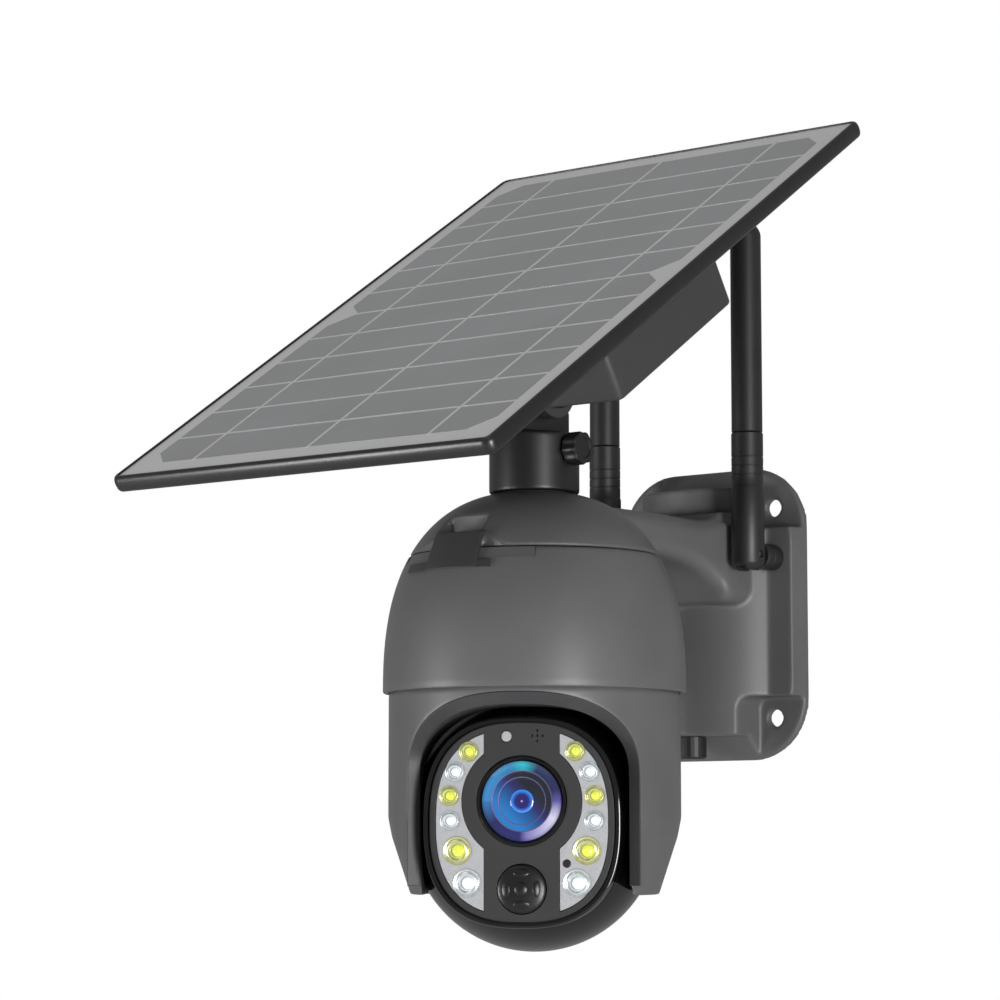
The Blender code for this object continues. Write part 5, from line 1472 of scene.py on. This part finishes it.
class CAMERA_OT_battery_box(bpy.types.Operator):
    """The deep black box under the panel, with its two hinge ears, and what is inside"""

    bl_idname = "security_camera.battery_box"
    bl_label = "Battery box"

    def execute(self, context):
        half_x, half_y, bottom, rim = 80 * MM, 46.5 * MM, 10 * MM, 36.4 * MM
        rings = []
        for z, inset in ((bottom, 1.5 * MM), (bottom + 0.2 * MM, 0.75 * MM),
                         (bottom + 0.75 * MM, 0.2 * MM), (bottom + 1.5 * MM, 0), (rim, 0)):
            rings.append([(x, y, z) for x, y in rounded_rectangle(
                half_x - inset, half_y - inset, 3 * MM - inset * 0.9, 8)])
        ear, into_box = 13 * MM, 11 * MM
        outline = arc(ear, 180, 360, 48) + [(ear, into_box), (-ear, into_box)]
        ears = [(loft([[(side * x, y, z) for y, z in outline]
                       for x in (6.9 * MM, 7.3 * MM, 11.5 * MM, 11.9 * MM)]), PANEL)
                for side in (-1, 1)]
        room = slab(77.6 * MM, 38.1 * MM, MM, 12.4 * MM, 45 * MM)
        case = shaped("black_battery_box", (loft(rings), PANEL), finish(satin_black_abs_and_latch_shade), ears,
                      [(bore(HINGE_BORE, -20 * MM, 20 * MM, 48), PANEL @ ALONG_X),
                       (room, PANEL)])
        place(case, "solar_panel", "panel_frame", "battery_box")
        lid = slab(half_x, half_y, 3 * MM, 36.7 * MM, 38.7 * MM, 0.4 * MM)
        made = add_object("black_battery_lid", lid, finish(satin_black_abs_and_latch_shade), PANEL)
        place(made, "solar_panel", "panel_frame", "battery_box_lid")
        dress(finish(shrink_sleeve), "battery_pack_left", "battery_pack_right")
        dress(finish(solder_mask), "charge_board")
        return {"FINISHED"}


# ---------------------------------------------------------------- antennas

ANTENNA_STAND_OFF = 2 * MM   # from the wall box's front to an antenna's axis
PIN_BORE = 1.8 * MM


class CAMERA_OT_antennas(bpy.types.Operator):
    """Two stub antennas: a round base, a smooth sleeve, a ringed collar and a whip"""

    bl_idname = "security_camera.antennas"
    bl_label = "Antennas"

    def execute(self, context):
        for side, name in ((-1, "left"), (1, "right")):
            at = DOME @ moved(side * ANTENNA_X, WALL_AT - BULGE_DEPTH - ANTENNA_STAND_OFF,
                              ANTENNA_Z)
            self.base(at, name)
            self.sleeve(at, name)
            self.whip(at, name)
            dress(finish(zinc_plate), f"antenna_pin_{name}")
        return {"FINISHED"}

    def base(self, at, name):
        barrel, back = 5.8 * MM, 19.7 * MM
        profile = [(0, 8.5 * MM), (5 * MM, 8.5 * MM), (5.6 * MM, 8.9 * MM),
                   (barrel, 10 * MM), (barrel, 12.4 * MM), (barrel - 0.35 * MM, 12.6 * MM),
                   (barrel - 0.35 * MM, 13.2 * MM), (barrel, 13.4 * MM), (barrel, back - 0.4 * MM),
                   (barrel - 0.4 * MM, back), (3.2 * MM, back), (3.2 * MM, 26.6 * MM),
                   (0, 26.6 * MM)]
        outline = arc(5.5 * MM, 90, 270, 40) + [(10 * MM, -5.5 * MM), (10 * MM, 5.5 * MM)]
        tongue = loft([[(x, y, z) for y, z in outline] for x in (-2.2 * MM, 2.2 * MM)])
        made = shaped(f"antenna_barrel_{name}", (lathe(profile, 96), at @ ALONG_Y),
                      finish(soft_black_elastomer), [(tongue, at)],
                      [(bore(PIN_BORE, -10 * MM, 10 * MM), at @ ALONG_X)])
        place(made, f"antenna_base_{name}", "rubber", f"antenna_base_{name}")

    def sleeve(self, at, name):
        radius, top, ringed = 7.35 * MM, 30 * MM, 54 * MM
        slim = radius - 0.3 * MM
        foot, sweep = 6.9 * MM, 8.2 * MM
        profile = [(0, -foot)] + arc(sweep, -math.degrees(math.asin(foot / sweep)),
                                     -math.degrees(math.acos(radius / sweep)), 12)
        profile += [(radius, top - 0.4 * MM), (radius - 0.12 * MM, top - 0.1 * MM),
                    (slim, top + 0.3 * MM)]
        for z in (top + 5 * MM, top + 9 * MM, top + 13 * MM):
            profile += [(slim, z), (slim - 0.2 * MM, z + 0.15 * MM),
                        (slim - 0.2 * MM, z + 0.5 * MM), (slim, z + 0.65 * MM)]
        profile += [(slim, ringed - 0.3 * MM), (slim - 0.3 * MM, ringed), (0, ringed)]
        room = 6.1 * MM
        outline = arc(room, 90, 180, 24) + [(-room, -room - 4 * MM), (20 * MM, -room - 4 * MM),
                                            (20 * MM, room)]
        fork = loft([[(x, y, z) for y, z in outline] for x in (-2.5 * MM, 2.5 * MM)])
        made = shaped(f"antenna_sleeve_black_{name}", (lathe(profile, 96), at),
                      finish(soft_black_elastomer), (),
                      [(fork, at), (bore(PIN_BORE, -10 * MM, 10 * MM), at @ ALONG_X)])
        place(made, f"antenna_{name}", "rubber", f"antenna_sleeve_{name}")

    def whip(self, at, name):
        radius, low, top = 6.85 * MM, 54.3 * MM, 149 * MM
        profile = [(0, low), (radius - 0.3 * MM, low), (radius, low + 0.3 * MM)]
        profile += arc(radius, 0, 90, 24, (0, top - radius))
        made = add_object(f"antenna_whip_black_{name}", lathe(profile, 96),
                          finish(soft_black_elastomer), at)
        place(made, f"antenna_{name}", "rubber", f"antenna_whip_{name}")


class CAMERA_OT_works(bpy.types.Operator):
    """Finishes for what is inside the dome: chassis, motor, bearing, boards and speaker"""

    bl_idname = "security_camera.works"
    bl_label = "Inner works"

    def execute(self, context):
        dress(finish(satin_black_nylon), "chassis_plate", "speaker")
        dress(finish(white_acetal), "pan_bearing")
        dress(finish(zinc_plate), "pan_motor")
        dress(finish(solder_mask), "main_board")
        return {"FINISHED"}


# ---------------------------------------------------------------- stage

def studio_paper():
    """Seamless paper: pale, dead matt, with a trace of fibre."""
    made, tree, shader = new_material("seamless_paper", Roughness=0.95)
    tone = ramp(tree, noise(tree, 40), (0.3, grey_level(0.86)), (0.7, grey_level(0.88)))
    tree.links.new(tone, shader.inputs["Base Color"])
    return made


class CAMERA_OT_stage(bpy.types.Operator):
    """Pale floor, soft studio lights, bright surroundings and the camera"""

    bl_idname = "security_camera.stage"
    bl_label = "Stage"

    def execute(self, context):
        scene = context.scene
        scene.view_settings.view_transform = "Standard"
        floor_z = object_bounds()[0].z - 0.45
        floor = add_object("paper_floor", prism([(-4, -4), (4, -4), (4, 4), (-4, 4)],
                                                floor_z - 0.01, floor_z), finish(studio_paper))
        floor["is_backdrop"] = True
        world = bpy.data.worlds.new("bright_studio")
        world.use_nodes = True
        tree = world.node_tree
        # The surroundings look white, and light the object with a third of that.
        seen = add(tree, "ShaderNodeLightPath").outputs["Is Camera Ray"]
        strength = add(tree, "ShaderNodeMapRange", {"Value": seen, "To Min": 0.3,
                                                    "To Max": 1.0})
        backdrop = tree.nodes["Background"]
        backdrop.inputs["Color"].default_value = grey_level(1.0)
        tree.links.new(strength.outputs["Result"], backdrop.inputs["Strength"])
        scene.world = world
        aim = Vector((0.0, -0.09, -0.02))
        for name, at, width, height, power in (
                ("left_strip", (-0.9, -1.4, -0.6), 0.4, 1.2, 27.0),
                ("right_strip", (1.45, -0.8, -0.55), 0.4, 1.2, 40.0),
                ("overhead", (0.0, -0.9, 1.5), 1.2, 1.2, 5.0)):
            lamp = bpy.data.lights.new(name, "AREA")
            lamp.shape, lamp.size, lamp.size_y, lamp.energy = "RECTANGLE", width, height, power
            holder = bpy.data.objects.new(name, lamp)
            scene.collection.objects.link(holder)
            holder.location = at
            holder.rotation_euler = (aim - Vector(at)).to_track_quat("-Z", "Y").to_euler()
        lens = bpy.data.cameras.new("camera")
        lens.lens, lens.sensor_width = 113.8, 36.0
        viewer = bpy.data.objects.new("camera", lens)
        scene.collection.objects.link(viewer)
        viewer.location = (0.8286, -1.1804, -0.1063)
        viewer.rotation_euler = (math.radians(96.33), 0.0, math.radians(39))
        scene.camera = viewer
        return {"FINISHED"}


# ---------------------------------------------------------------- add-on

PIECES = (CAMERA_OT_top_housing, CAMERA_OT_dome_skirt, CAMERA_OT_front_latch, CAMERA_OT_yoke,
          CAMERA_OT_ball, CAMERA_OT_face, CAMERA_OT_lights, CAMERA_OT_lens,
          CAMERA_OT_motion_sensor, CAMERA_OT_bracket, CAMERA_OT_solar_panel,
          CAMERA_OT_battery_box, CAMERA_OT_antennas, CAMERA_OT_works, CAMERA_OT_stage)
GROUPS = (("camera_housing", HousingSizes), ("camera_face", FaceSizes),
          ("camera_panel", PanelSizes))


class CAMERA_PT_sidebar(bpy.types.Panel):
    """Sizes and the operators that build each piece"""

    bl_label = "Security camera"
    bl_idname = "CAMERA_PT_sidebar"
    bl_space_type = "VIEW_3D"
    bl_region_type = "UI"
    bl_category = "Camera"

    def draw(self, context):
        for name, group in GROUPS:
            box = self.layout.box()
            for size in group.bl_rna.properties:
                if not size.is_readonly and size.identifier != "name":
                    box.prop(getattr(context.scene, name), size.identifier)
        for piece in PIECES:
            self.layout.operator(piece.bl_idname)


def register():
    for _, group in GROUPS:
        bpy.utils.register_class(group)
    for piece in PIECES:
        bpy.utils.register_class(piece)
    bpy.utils.register_class(CAMERA_PT_sidebar)
    for name, group in GROUPS:
        setattr(bpy.types.Scene, name, PointerProperty(type=group))


def unregister():
    for name, _ in GROUPS:
        delattr(bpy.types.Scene, name)
    bpy.utils.unregister_class(CAMERA_PT_sidebar)
    for piece in reversed(PIECES):
        bpy.utils.unregister_class(piece)
    for _, group in reversed(GROUPS):
        bpy.utils.unregister_class(group)


def main():
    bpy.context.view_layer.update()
    register()
    for piece in PIECES:
        name = piece.bl_idname.split(".")[1]
        getattr(bpy.ops.security_camera, name)()


if __name__ == "__main__":
    main()
